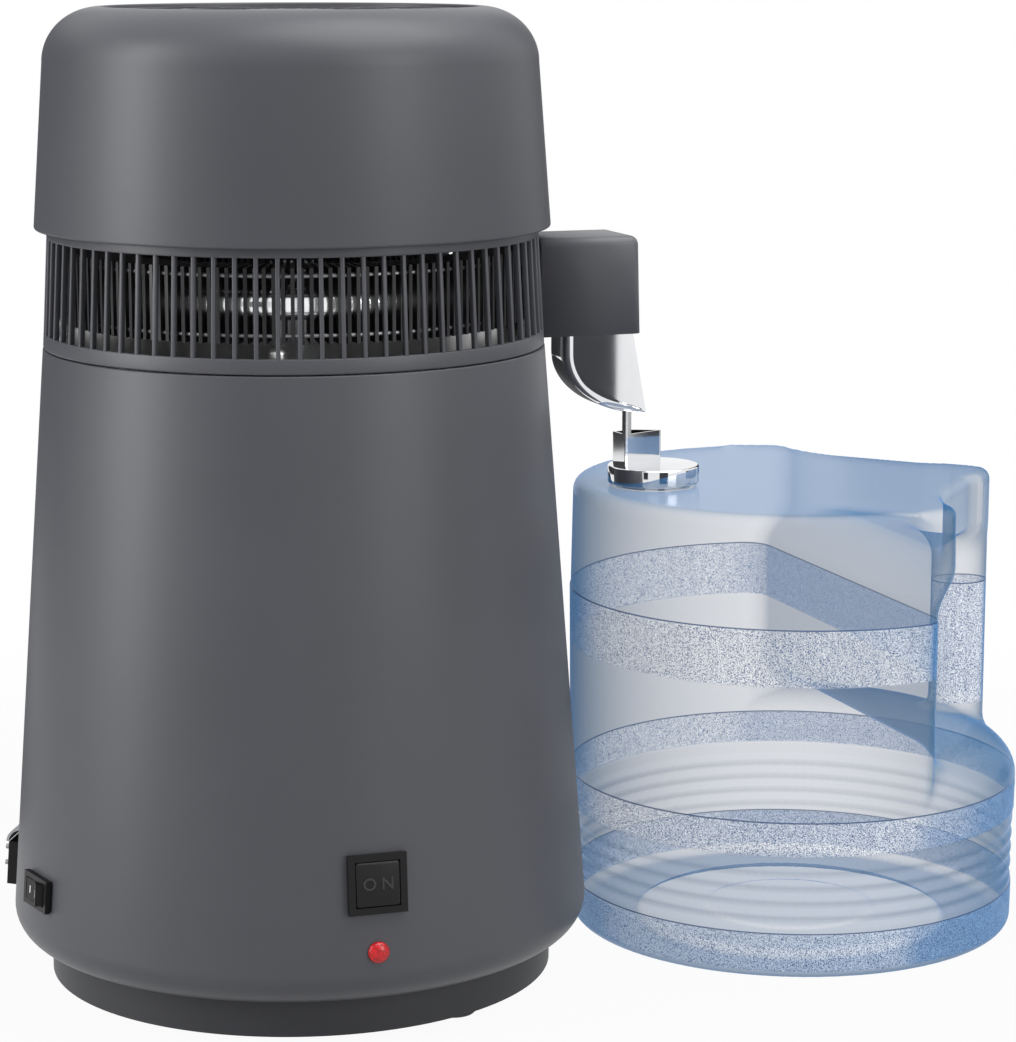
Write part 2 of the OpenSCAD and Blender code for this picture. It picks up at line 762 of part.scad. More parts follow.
module base_plate() {
    color(c_case) at_boiler() difference() {
        union() {
            translate([0, 0, foot_h]) difference() {
                cylinder(d = plinth_d, h = plinth_h);
                translate([0, 0, plinth_floor])
                    cylinder(d = plinth_d - 2 * plinth_wall, h = plinth_h);
            }
            around(base_screw_count, base_screw_turn)
                translate([base_screw_circle_d / 2, 0, foot_h + plinth_floor / 2])
                    cylinder(d = base_boss_d, h = plinth_h - plinth_floor / 2);
        }
        base_screw_holes();
        around(base_screw_count, base_screw_turn)
            translate([base_screw_circle_d / 2, 0, foot_h - over])
                cylinder(d = base_screw_head_d + 2 * fit, h = base_screw_head_h + over);
        around(foot_count, foot_turn)
            translate([foot_circle_d / 2, 0, foot_h - over])
                cylinder(d = foot_stem_d + 2 * side_gap, h = plinth_floor + 2 * over);
    }
}

module rubber_feet() {
    bevel = foot_h / 3;
    color(c_rubber) at_boiler() around(foot_count, foot_turn)
        translate([foot_circle_d / 2, 0, 0]) {
            rotate_extrude() polygon([
                [0, 0],
                [foot_d / 2 - bevel, 0],
                [foot_d / 2, bevel],
                [foot_d / 2, foot_h],
                [foot_stem_d / 2, foot_h],
                [foot_stem_d / 2, foot_h + plinth_floor + over],
                [0, foot_h + plinth_floor + over]
            ]);
        }
}

module base_screws() {
    z0 = foot_h + fit;
    z1 = foot_h + base_screw_head_h;
    color(c_steel) at_boiler() around(base_screw_count, base_screw_turn)
        translate([base_screw_circle_d / 2, 0, 0]) rotate_extrude() polygon([
            [0, z0],
            [base_screw_head_d / 2, z0],
            [base_screw_head_d / 2, z1],
            [base_screw_d / 2, z1],
            [base_screw_d / 2, z_casing + base_screw_end],
            [0, z_casing + base_screw_end]
        ]);
}

module outer_casing() {
    inner_round = casing_round - casing_wall;
    centre = [casing_r - casing_round, z_round];
    flange_r = casing_r - casing_round - casing_flange_w;
    step_r = casing_top_r - casing_wall / 2;
    color(c_case) difference() {
        at_boiler() rotate_extrude() polygon(concat(
            [[flange_r, z_casing]],
            arc(centre, casing_round, casing_round, -90, 0),
            [
                [casing_top_r, z_seat],
                [step_r, z_seat],
                [step_r, z_seat - pot_wall],
                [casing_top_r - casing_wall, z_seat - pot_wall]
            ],
            arc(centre, inner_round, inner_round, 0, -90),
            [[flange_r, z_casing + casing_wall]]
        ));
        at_boiler() base_screw_holes();
        on_casing(button_turn, button_z)
            slab(-button_body_l, over, button_body_w + 2 * fit, button_body_w + 2 * fit);
        on_casing(button_turn, lamp_z) bar(-lamp_sleeve_l, over, lamp_sleeve_d + 2 * fit);
        on_casing(rocker_turn, rocker_z)
            slab(-rocker_body_l, over, rocker_body_w + 2 * fit, rocker_body_h + 2 * fit);
        on_casing(inlet_turn, inlet_z)
            slab(-inlet_in, over, inlet_w - 2 * (inlet_lip - fit), inlet_h - 2 * (inlet_lip - fit));
    }
}

module boiling_pot() {
    inner_round = pot_round - pot_wall;
    centre = [pot_r - pot_round, z_pot + pot_round];
    color(c_steel) at_boiler() rotate_extrude() polygon(concat(
        [[0, z_pot]],
        arc(centre, pot_round, pot_round, -90, 0),
        [
            [pot_r, z_seat - pot_wall],
            [pot_rim_r, z_seat - pot_wall],
            [pot_rim_r, z_seat],
            [pot_r - pot_wall, z_seat]
        ],
        arc(centre, inner_round, inner_round, 0, -90),
        [[0, z_pot + pot_wall]]
    ));
}

module heater_plate() {
    color(c_alloy) at_boiler() translate([0, 0, z_heater])
        ring(heater_d, stud_d + 2 * fit, heater_h);
}

module heating_element() {
    color(c_black) at_boiler() translate([0, 0, z_element]) {
        rotate_extrude(angle = element_span)
            translate([element_ring_d / 2, 0]) circle(d = element_tube_d);
        for (a = [0, element_span])
            rotate([0, 0, a])
                bar(element_ring_d / 2, element_ring_d / 2 + element_end_l, element_end_d);
    }
}

module heater_clamp() {
    color(c_steel) at_boiler() translate([0, 0, z_clamp])
        ring(clamp_d, stud_d + 2 * fit, clamp_h);
}

module heater_stud() {
    z0 = z_clamp - stud_nut_h - stud_tail;
    color(c_steel) at_boiler() translate([0, 0, z0]) cylinder(d = stud_d, h = z_pot - z0);
}

module heater_nut() {
    color(c_steel) at_boiler() translate([0, 0, z_clamp - stud_nut_h]) difference() {
        cylinder(d = 2 * stud_d, h = stud_nut_h, $fn = 6);
        translate([0, 0, -over]) cylinder(d = stud_d + 2 * side_gap, h = stud_nut_h + 2 * over);
    }
}

module thermostats() {
    color(c_black) at_boiler() for (a = thermostat_turns)
        rotate([0, 0, a]) translate([pot_r + side_gap, 0, z_pot + thermostat_up]) {
            bar(0, thermostat_cap_l, thermostat_d);
            bar(thermostat_cap_l, thermostat_l, thermostat_body_d);
        }
}

module button_housing() {
    pocket = button_w + 2 * fit;
    pocket_l = button_l + button_travel + over;
    color(c_black) on_casing(button_turn, button_z) difference() {
        union() {
            slab(side_gap, bezel_t, bezel_w, bezel_w);
            slab(-button_body_l, side_gap, button_body_w, button_body_w);
        }
        slab(bezel_t - pocket_l, bezel_t + over, pocket, pocket);
    }
}

module start_button() {
    face = bezel_t + button_proud;
    color(c_black) on_casing(button_turn, button_z) slab(face - button_l, face, button_w, button_w);
}

module lamp_holder() {
    color(c_black) on_casing(button_turn, lamp_z) difference() {
        bar(-lamp_sleeve_l, 0, lamp_sleeve_d);
        bar(-lamp_sleeve_l + over, over, lamp_bore_d);
    }
}

module lamp_lens() {
    lens_r = lamp_d / 2;
    stem_r = lamp_bore_d / 2 - side_gap;
    color(c_red) on_casing(button_turn, lamp_z) rotate([0, 90, 0]) rotate_extrude() polygon(concat(
        [[0, -lens_r], [stem_r, -lens_r], [stem_r, side_gap], [lens_r, side_gap]],
        arc([0, lamp_edge], lens_r, lamp_dome - lamp_edge, 0, 90)
    ));
}

module rocker_housing() {
    pocket_l = rocker_depth + 3 * over;
    pin_l = rocker_pocket_h + 2 * (rocker_pin_in + fit);
    color(c_black) on_casing(rocker_turn, rocker_z) difference() {
        union() {
            slab(side_gap, bezel_t, rocker_bezel_w, rocker_bezel_h);
            slab(-rocker_body_l, side_gap, rocker_body_w, rocker_body_h);
        }
        slab(-pocket_l, bezel_t + over, rocker_pocket_w, rocker_pocket_h);
        cylinder(d = rocker_pin_d + 2 * side_gap, h = pin_l, center = true);
    }
}

module rocker() {
    end = rocker_w / 2;
    face = bezel_t;
    color(c_black) on_casing(rocker_turn, rocker_z) rotate([0, 0, -rocker_tilt]) {
        linear_extrude(rocker_h, center = true) polygon([
            [face + rocker_rise, -end + rocker_nose],
            [face, 0],
            [face + rocker_rise, end - rocker_nose],
            [0, end],
            [-rocker_depth, end - rocker_heel],
            [-rocker_depth, -end + rocker_heel],
            [0, -end]
        ]);
        cylinder(d = rocker_pin_d, h = rocker_h + 2 * (fit + rocker_pin_in), center = true);
    }
}

// Places its children at each contact pin
module at_inlet_pins() {
    top = inlet_h / 2 - inlet_lip - inlet_pin_d;
    for (z = [top, top - inlet_pin_gap])
        on_casing(inlet_turn, inlet_z) translate([0, inlet_w / 2 - inlet_pin_edge, z]) children();
}

module inlet_block() {
    color(c_black) difference() {
        on_casing(inlet_turn, inlet_z) union() {
            slab(side_gap, inlet_out, inlet_w, inlet_h);
            slab(-inlet_in, side_gap, inlet_w - 2 * inlet_lip, inlet_h - 2 * inlet_lip);
        }
        at_inlet_pins() bar(-inlet_in - over, inlet_out + over, inlet_pin_d + 2 * side_gap);
    }
}

module inlet_pins() {
    color(c_steel) at_inlet_pins() bar(-inlet_in - inlet_pin_tail, inlet_out + inlet_pin_out, inlet_pin_d);
}

module inlet_guard() {
    z0 = inlet_h / 2 + side_gap;
    color(c_steel) on_casing(inlet_turn, inlet_z)
        rotate([90, 0, 0]) linear_extrude(inlet_w, center = true) polygon(concat(
            arc([side_gap, z0], guard_r, guard_h, 0, 90),
            arc([side_gap, z0], guard_r - guard_t, guard_h - guard_t, 90, 0)
        ));
}

module vent_ring() {
    slot_w = 2 * PI * vent_top_r / bar_count - bar_w;
    slot_step = 360 / bar_count;
    inner_low = vent_r_at(z_lid) - vent_wall;
    inner_top = vent_r_at(z_vent_top - vent_flange_t) - vent_wall;
    color(c_case) at_boiler() difference() {
        rotate_extrude() polygon([
            [vent_flange_r, z_head],
            [vent_r, z_head],
            [vent_top_r, z_vent_top],
            [vent_flange_r, z_vent_top],
            [vent_flange_r, z_vent_top - vent_flange_t],
            [inner_top, z_vent_top - vent_flange_t],
            [inner_low, z_lid],
            [vent_flange_r, z_lid]
        ]);
        for (i = [0:bar_count - 1]) {
            turn = (i + 0.5) * slot_step;
            if (turn > arm_turn + slot_step / 2 && turn < 360 - arm_turn - slot_step / 2)
                rotate([0, 0, turn])
                    translate([vent_top_r - 3 * vent_wall, -slot_w / 2, z_slot])
                        cube([vent_r, slot_w, z_slot_top - z_slot]);
        }
        translate([0, 0, z_coil]) bar(coil_r, casing_r, coil_tube_d + 4 * fit);
        lid_nut_holes();
    }
}

module lid_nut_holes() {
    around(lid_nut_count, lid_nut_turn)
        translate([lid_nut_circle_r, 0, z_head - over])
            cylinder(d = lid_stud_d + 2 * fit, h = vent_flange_t + lid_t + 2 * over);
}

module chamber_lid() {
    color(c_steel) at_boiler() difference() {
        rotate_extrude() polygon([
            [neck_r, z_lid],
            [lid_skirt_r - lid_skirt_t, z_lid],
            [lid_skirt_r - lid_skirt_t, z_lid - lid_skirt_h],
            [lid_skirt_r, z_lid - lid_skirt_h],
            [lid_skirt_r, z_lid],
            [lid_r, z_lid],
            [lid_r, z_lid + lid_t],
            [neck_r + neck_wall, z_lid + lid_t],
            [neck_r + neck_wall, z_lid + lid_t + neck_h],
            [neck_r, z_lid + lid_t + neck_h]
        ]);
        lid_nut_holes();
    }
}

module lid_seal() {
    color(c_seal) at_boiler() translate([0, 0, z_lid - lid_skirt_h + over])
        ring(2 * (lid_skirt_r + seal_w), 2 * (lid_skirt_r + side_gap), seal_h);
}

module lid_nuts() {
    dome_h = lid_nut_h / 3;
    z0 = z_lid + lid_t;
    color(c_steel) at_boiler() around(lid_nut_count, lid_nut_turn)
        translate([lid_nut_circle_r, 0, 0]) rotate_extrude() polygon(concat(
            [
                [0, z_head + fit],
                [lid_stud_d / 2, z_head + fit],
                [lid_stud_d / 2, z0],
                [lid_nut_d / 2, z0]
            ],
            arc([0, z0 + lid_nut_h - dome_h], lid_nut_d / 2, dome_h, 0, 90)
        ));
}

// One unbroken tube along a path, with round rings carried along without twist
module swept_tube(path, radius, sides) {
    last = len(path) - 1;
    ahead = [for (i = [0:last]) unit(path[min(i + 1, last)] - path[max(i - 1, 0)])];
    first = unit(cross(ahead[0], [0, 1, 0]));
    side = [
        for (i = 0, n = first; i <= last; i = i + 1, n = square_to(n, ahead[min(i, last)]))
            n
    ];
    points = [
        for (i = [0:last], k = [0:sides - 1])
            let (a = 360 * k / sides)
            path[i] + radius * (cos(a) * side[i] + sin(a) * cross(ahead[i], side[i]))
    ];
    walls = [
        for (i = [0:last - 1], k = [0:sides - 1], half = [0, 1])
            let (here = i * sides, next = here + sides, k1 = (k + 1) % sides)
            half == 0 ? [here + k, next + k, here + k1] : [here + k1, next + k, next + k1]
    ];
    caps = [
        [for (k = [0:sides - 1]) k],
        [for (k = [sides - 1:-1:0]) last * sides + k]
    ];
    polyhedron(points, concat(walls, caps));
}

module condenser_tube() {
    color(c_steel) at_boiler() swept_tube(coil_path, coil_tube_r, coil_sides);
}

module condenser_fins() {
    color(c_alloy) at_boiler() for (i = [fin_first:fin_last])
        rotate([0, 0, i * fin_step]) difference() {
            translate([fin_outer_r - fin_w, -fin_t / 2, z_coil - fin_h / 2]) cube([fin_w, fin_t, fin_h]);
            translate([coil_r, 0, z_coil]) rotate([90, 0, 0])
                cylinder(d = coil_tube_d + 2 * side_gap, h = 2 * fin_t, center = true);
            for (z = fin_wire_zs)
                translate([fin_wire_r, 0, z]) rotate([90, 0, 0])
                    cylinder(d = fin_wire_d + 2 * side_gap, h = 2 * fin_t, center = true, $fn = 24);
        }
}

module fin_wires() {
    color(c_steel) at_boiler() for (z = fin_wire_zs)
        translate([0, 0, z]) rotate([0, 0, fin_first * fin_step - fin_room])
            rotate_extrude(angle = (fin_last - fin_first) * fin_step + 2 * fin_room)
                translate([fin_wire_r, 0]) circle(d = fin_wire_d, $fn = 24);
}

// Places its children at each motor screw
module at_motor_screws() {
    around(bracket_arm_count, 0) translate([motor_screw_circle_d / 2, 0, 0]) children();
}

module motor_bracket() {
    color(c_black) at_boiler() translate([0, 0, z_vent_top]) difference() {
        union() {
            ring(2 * bracket_r, 2 * (bracket_r - bracket_ring_w), bracket_t);
            cylinder(d = bracket_hub_d, h = bracket_t);
            around(bracket_arm_count, 60)
                translate([0, -bracket_arm_w / 2, 0])
                    cube([bracket_r - bracket_ring_w / 2, bracket_arm_w, bracket_t]);
        }
        at_motor_screws() translate([0, 0, -over])
            cylinder(d = motor_screw_d + 2 * fit, h = bracket_t + 2 * over);
    }
}

module motor_screws() {
    z0 = z_vent_top - motor_screw_head_h;
    color(c_steel) at_boiler() at_motor_screws() rotate_extrude() polygon([
        [0, z0],
        [motor_screw_head_d / 2, z0],
        [motor_screw_head_d / 2, z_vent_top],
        [motor_screw_d / 2, z_vent_top],
        [motor_screw_d / 2, z_motor + motor_screw_in - fit],
        [0, z_motor + motor_screw_in - fit]
    ]);
}

module fan_motor() {
    color(c_black) at_boiler() translate([0, 0, z_motor]) difference() {
        cylinder(d = motor_d, h = motor_h);
        translate([0, 0, motor_h - shaft_in]) cylinder(d = shaft_d + 2 * shaft_fit, h = shaft_in + over);
        at_motor_screws() translate([0, 0, -over])
            cylinder(d = motor_screw_d + 2 * side_gap, h = motor_screw_in + over);
    }
}

module fan_shaft() {
    z0 = z_motor + motor_h - shaft_in + fit;
    z1 = z_hub + hub_h + fan_nut_h + shaft_tail;
    color(c_steel) at_boiler() translate([0, 0, z0]) cylinder(d = shaft_d, h = z1 - z0);
}

module fan() {
    root = hub_d / 2 - 2 * blade_t;
    color(c_black) at_boiler() translate([0, 0, z_hub]) difference() {
        union() {
            cylinder(d = hub_d, h = hub_h);
            around(blade_count)
                translate([root, 0, hub_h / 2]) rotate([blade_pitch, 0, 0])
                    translate([0, -blade_w / 2, -blade_t / 2])
                        cube([fan_r - root, blade_w, blade_t]);
        }
        translate([0, 0, -over]) cylinder(d = shaft_d + 2 * shaft_fit, h = hub_h + 2 * over);
    }
}

module fan_nut() {
    color(c_steel) at_boiler() translate([0, 0, z_hub + hub_h]) difference() {
        cylinder(d = fan_nut_d, h = fan_nut_h, $fn = 6);
        translate([0, 0, -over]) cylinder(d = shaft_d + 2 * shaft_fit, h = fan_nut_h + 2 * over);
    }
}

module top_cover() {
    centre = [shoulder_r, z_shoulder];
    inner_r = cover_r - cover_wall;
    inner_w = shoulder_w - cover_wall;
    inner_h = shoulder_h - cover_wall;
    ledge_z = z_vent_top + cover_ledge_t;
    color(c_case) difference() {
        at_boiler() rotate_extrude() polygon(concat(
            [
                [inner_r, z_cover],
                [cover_r - rim_bevel, z_cover],
                [cover_r_at(z_cover + rim_bevel), z_cover + rim_bevel]
            ],
            arc(centre, shoulder_w, shoulder_h, 0, 90),
            [
                [recess_r, z_cover_top],
                [recess_r, z_recess],
                [recess_opening_r, z_recess],
                [recess_opening_r, z_recess - recess_floor],
                [recess_r + cover_wall, z_recess - recess_floor],
                [recess_r + cover_wall, z_shoulder + inner_h]
            ],
            arc(centre, inner_w, inner_h, shoulder_open, 0),
            [
                [cover_r_at(ledge_z) - cover_wall, ledge_z],
                [cover_ledge_r, ledge_z],
                [cover_ledge_r, z_vent_top],
                [cover_r_at(z_vent_top) - cover_wall, z_vent_top]
            ]
        ));
        on_cover(socket_turn, z_cover + socket_up)
            slab(-socket_l, over, socket_w - 2 * (socket_lip - fit), socket_h - 2 * (socket_lip - fit));
    }
}

module top_grille() {
    vane_x = grille_hub_d / 2 - vane_w;
    color(c_case) at_boiler() translate([0, 0, z_recess]) {
        ring(2 * grille_r, 2 * recess_opening_r - grille_ring_w, grille_t);
        ring(2 * grille_ring_r + grille_ring_w, 2 * grille_ring_r - grille_ring_w, grille_t);
        cylinder(d = grille_hub_d, h = grille_t);
        around(vane_count)
            translate([vane_x, -vane_w / 2, vane_in])
                cube([recess_opening_r - vane_x, vane_w, grille_t - 2 * vane_in]);
    }
}

module fan_socket() {
    body_w = socket_w - 2 * socket_lip;
    body_h = socket_h - 2 * socket_lip;
    color(c_black) on_cover(socket_turn, z_cover + socket_up) difference() {
        union() {
            slab(side_gap, socket_t, socket_w, socket_h);
            slab(-socket_l, side_gap, body_w, body_h);
        }
        for (side = [-1, 1])
            translate([0, side * socket_slot_gap / 2, 0])
                slab(-socket_l / 2, socket_t + over, socket_slot.x, socket_slot.y);
    }
}

// The arm's outline seen from the side, drawn in by a wall
module arm_side(wall) {
    x1 = arm_x - wall;
    top = arm_h - wall;
    slope = top * tan(arm_lean);
    r = arm_round - wall / 2;
    polygon(concat(
        [[0, wall > 0 ? -over : 0], [x1, wall > 0 ? -over : 0]],
        arc([x1 - slope - r, top - r], r, r, 0, 90),
        [[0, top]]
    ));
}

// The arm's outline seen from its end, drawn in by a wall
module arm_front(wall) {
    half = arm_w / 2 - wall;
    top = arm_h - wall;
    r = arm_round - wall / 2;
    polygon(concat(
        [[-half, -over], [half, -over]],
        arc([half - r, top - r], r, r, 0, 90),
        arc([r - half, top - r], r, r, 90, 180)
    ));
}

module arm_block(wall) {
    intersection() {
        rotate([90, 0, 0]) linear_extrude(arm_w, center = true) arm_side(wall);
        rotate([90, 0, 90]) linear_extrude(arm_x) arm_front(wall);
    }
}

module arm_cover() {
    rail_x = spout_x + 2 * spout_t;
    rail_l = spout_end_x - 2 * spout_t - rail_x;
    rail_y = (arm_inner_w - rail_w + fit) / 2;
    gap_r = vent_r + fit;
    gap_top_r = vent_top_r + fit;
    color(c_case) at_boiler() difference() {
        translate([0, 0, z_arm]) union() {
            difference() {
                arm_block(0);
                arm_block(arm_wall);
            }
            for (side = [-1, 1])
                translate([rail_x, side * rail_y - (rail_w + fit) / 2, rail_up])
                    cube([rail_l, rail_w + fit, rail_w]);
        }
        translate([0, 0, z_head]) cylinder(r1 = gap_r, r2 = gap_top_r, h = vent_h);
        translate([0, 0, z_head - over]) cylinder(r = gap_r, h = 2 * over);
    }
}

// The spout seen from the side: back wall, curve, tip and outer edge, drawn in by a wall
module spout_side(wall) {
    x0 = spout_x + wall;
    top = wall > 0 ? z_spout_top + over : z_spout_top;
    edge = wall > 0
        ? [[tip_x + over, z_tip + wall], [tip_x + over, top]]
        : [[spout_lip_x, z_arm - fit], [spout_end_x, z_arm - fit], [spout_end_x, top]];
    polygon(concat(
        [[x0, top]],
        arc([tip_x, z_tip + spout_curve], tip_x - x0, spout_curve - wall, 180, 270, 12),
        edge
    ));
}

module spout() {
    flange_x = spout_x + 3 * spout_t;
    flange_l = spout_end_x - 3 * spout_t - flange_x;
    flange_w = arm_inner_w - 2 * fit;
    color(c_steel) at_boiler() difference() {
        union() {
            rotate([90, 0, 0]) linear_extrude(spout_w, center = true) spout_side(0);
            translate([flange_x, -flange_w / 2, z_spout_top - spout_t]) cube([flange_l, flange_w, spout_t]);
        }
        rotate([90, 0, 0]) linear_extrude(spout_w - 2 * spout_t, center = true) spout_side(spout_t);
    }
}

// Half outline of the jug's lower part with its saddle
module jug_lower_half(wall) {
    grooves = [
        for (i = [0:4 * groove_count])
            let (z = groove_z + (i / 4 - 0.5) * groove_pitch)
            [jug_r_at(z) - groove_depth * (1 - cos(90 * i)) / 2 - wall, z]
    ];
    foot = jug_foot_r - jug_foot_round;
    foot_round = jug_foot_round - wall / 2;
    rise_r = punt_r - punt_h;
    slope_in = wall * tan(45 / 2);
    polygon(concat(
        [[0, punt_h + wall], [rise_r + slope_in, punt_h + wall], [punt_r + slope_in, wall]],
        arc([foot - wall / 2, foot_round + wall], foot_round, foot_round, -90, 0, 4),
        grooves,
        [[jug_waist_r - wall, waist_z - wall / 2]],
        arc([jug_waist_r - wall - saddle_w, waist_z - wall / 2], saddle_w, saddle_h - wall / 2, 10, 90, 6),
        [[0, waist_z + saddle_h - wall]]
    ));
}

// Half outline of the jug's upper part, from below the waist to the top
module jug_upper_half(wall) {
    top = jug_h - wall;
    r = jug_round - wall / 2;
    polygon(concat(
        [
            [0, waist_z - 2 * jug_wall],
            [jug_waist_r - wall, waist_z - 2 * jug_wall],
            [jug_waist_r - wall, waist_z],
            [jug_r - wall, band_z]
        ],
        arc([jug_top_r - wall - r, top - r], r, r, 0, 90, 5),
        [[0, top]]
    ));
}

// Everything on the mouth's side of an upright plane, from a height upward
module up_to(x, z) {
    translate([-jug_d, -jug_d, z]) cube([jug_d + x, 2 * jug_d, 2 * jug_h]);
}

// The jug's form, drawn in by a wall: lower part, upper part up to the flat wall, handle and bridge
module jug_form(wall) {
    top = jug_h - wall;
    rotate_extrude() jug_lower_half(wall);
    intersection() {
        rotate_extrude() jug_upper_half(wall);
        union() {
            up_to(flat_x - wall, 0);
            up_to(shelf_x - wall, z_bridge + wall);
        }
    }
    translate([handle_x, 0, waist_z]) {
        cylinder(r = handle_r - wall, h = top - waist_z);
        cylinder(r1 = handle_r + root_spread - wall, r2 = handle_r - wall, h = z_root - waist_z - wall);
    }
    translate([0, 0, z_bridge + wall]) {
        linear_extrude(top - z_bridge - wall) polygon([
            [shelf_x - 2 * jug_wall, -bridge_w + wall],
            [bridge_end_x, -bridge_end_r + wall],
            [bridge_end_x, bridge_end_r - wall],
            [shelf_x - 2 * jug_wall, bridge_w - wall]
        ]);
        translate([bridge_end_x, 0, 0]) cylinder(r = bridge_end_r - wall, h = top - z_bridge - wall);
    }
}

module jug() {
    color(c_jug) difference() {
        union() {
            at_jug() jug_form(0);
            at_mouth() translate([0, 0, jug_h - jug_wall])
                cylinder(r = mouth_r + lip_w, h = jug_wall + lip_h);
        }
        at_jug() jug_form(jug_wall);
        at_mouth() translate([0, 0, jug_h - 2 * jug_wall]) cylinder(r = mouth_r, h = 3 * jug_wall + lip_h);
    }
}

module jug_cap() {
    color(c_steel) at_mouth() difference() {
        union() {
            translate([0, 0, z_cap]) cylinder(d = cap_d, h = cap_h);
            translate([0, 0, z_cap - plug_l]) cylinder(d = plug_d, h = plug_l + over);
        }
        rotate([0, 0, drip_turn]) translate([drip_r, 0, z_cap - plug_l - over])
            cylinder(d = drip_d, h = plug_l + cap_h + 2 * over);
    }
}

// A vertical sheet between two corners of the guide
module guide_panel(from, to, h) {
    along = to - from;
    translate([from.x, from.y, z_guide])
        rotate([0, 0, atan2(along.y, along.x)])
            translate([-guide_t / 2, -guide_t / 2, 0]) cube([norm(along) + guide_t, guide_t, h]);
}

module drip_guide() {
    corners = len(guide_outline);
    front = guide_outline[0];
    left = guide_outline[corners - 1];
    right = guide_outline[1];
    color(c_steel) at_mouth() {
        for (i = [0:corners - 1])
            guide_panel(guide_outline[i], guide_outline[(i + 1) % corners], guide_h);
        for (end = [left, right])
            guide_panel(front, front + tongue_w / 2 * (end - front) / norm(end - front), tongue_h);
    }
}

base_plate();
rubber_feet();
base_screws();
outer_casing();
boiling_pot();
heater_plate();
heating_element();
heater_clamp();
heater_stud();
heater_nut();
thermostats();
button_housing();
start_button();
lamp_holder();
lamp_lens();
rocker_housing();
rocker();
inlet_block();
inlet_pins();
inlet_guard();
vent_ring();
chamber_lid();
lid_seal();
lid_nuts();
condenser_tube();
condenser_fins();
fin_wires();
motor_bracket();
motor_screws();
fan_motor();
fan_shaft();
fan();
fan_nut();
top_cover();
top_grille();
fan_socket();
arm_cover();
spout();
jug();
jug_cap();
drip_guide();
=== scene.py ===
# %% [markdown]
# # A countertop water distiller
# The set is a grey boiler with a lift-off head, and a blue see-through jug that stands under its
# spout. The solid model gives every part its place. This lesson dresses it: each part keeps its
# place and gets the finish, the soft edges and the small features that the real one shows.

# %% Load the frame
import math

import bmesh
import bpy
import numpy as np
from mathutils import Matrix, Vector


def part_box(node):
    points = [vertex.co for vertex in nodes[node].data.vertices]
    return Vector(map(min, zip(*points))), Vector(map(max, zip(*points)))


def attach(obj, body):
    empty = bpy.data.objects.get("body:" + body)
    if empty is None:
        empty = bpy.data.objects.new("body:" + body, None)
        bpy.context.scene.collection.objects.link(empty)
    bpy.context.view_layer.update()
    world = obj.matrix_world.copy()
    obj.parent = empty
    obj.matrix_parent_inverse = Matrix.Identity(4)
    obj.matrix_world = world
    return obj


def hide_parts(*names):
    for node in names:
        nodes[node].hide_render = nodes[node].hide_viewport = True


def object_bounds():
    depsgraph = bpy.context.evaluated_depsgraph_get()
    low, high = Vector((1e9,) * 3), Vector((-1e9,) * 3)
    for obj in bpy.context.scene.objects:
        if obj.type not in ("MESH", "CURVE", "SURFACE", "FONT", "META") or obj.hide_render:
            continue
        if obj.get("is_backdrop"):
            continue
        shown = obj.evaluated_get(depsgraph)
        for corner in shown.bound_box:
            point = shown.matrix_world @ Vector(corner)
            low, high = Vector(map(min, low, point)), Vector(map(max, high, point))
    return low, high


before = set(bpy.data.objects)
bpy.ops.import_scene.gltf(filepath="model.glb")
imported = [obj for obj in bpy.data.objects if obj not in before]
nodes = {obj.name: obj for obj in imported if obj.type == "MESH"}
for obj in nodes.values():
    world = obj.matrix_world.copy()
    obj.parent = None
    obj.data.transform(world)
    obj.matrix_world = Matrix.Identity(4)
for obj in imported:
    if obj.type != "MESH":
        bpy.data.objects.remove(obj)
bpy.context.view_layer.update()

MM = 0.001
plate_box, jug_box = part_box("base_plate"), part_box("jug")
BOILER_X = (plate_box[0][0] + plate_box[1][0]) / 2 / MM
JUG_R = 93.9
JUG_X = jug_box[0][0] / MM + JUG_R
print("upright axes: boiler", round(BOILER_X, 3), "mm, jug", round(JUG_X, 3), "mm")

# %% [markdown]
# ## Camera
# The picture was taken with a long lens from a little above the table, so that the boiler stands
# in front and its switch side still shows at the left. A long lens keeps upright edges upright,
# so the camera needs no shift. The numbers come from matching the rims of the boiler and the jug.

# %% Camera
CAMERA_FROM_BOILER = (-0.3255, -1.1873, 0.4054)
CAMERA_TILT, CAMERA_TURN = 79.675, -19.2
SENSOR, LENS = 36.0, 109.5

def put(name, data):
    """A new object of that data, linked into the scene."""
    made = bpy.data.objects.new(name, data)
    bpy.context.scene.collection.objects.link(made)
    return made

camera = put("camera", bpy.data.cameras.new("camera"))
camera.data.sensor_width, camera.data.lens = SENSOR, LENS
camera.location = Vector((BOILER_X * MM, 0, 0)) + Vector(CAMERA_FROM_BOILER)
camera.rotation_euler = (math.radians(CAMERA_TILT), 0.0, math.radians(CAMERA_TURN))
bpy.context.scene.camera = camera
bpy.context.scene.view_settings.view_transform = "Standard"
print("camera at", tuple(camera.location), "lens", camera.data.lens, "mm")

# %% [markdown]
# ## Shader maths as plain Python
# A node tree is easier to read as a sum than as a row of boxes. This class wraps one socket, and
# adding or multiplying two of them adds the right node: Math for numbers, Mix for colours and
# Vector Math for vectors. Any other node comes from its one method, node().

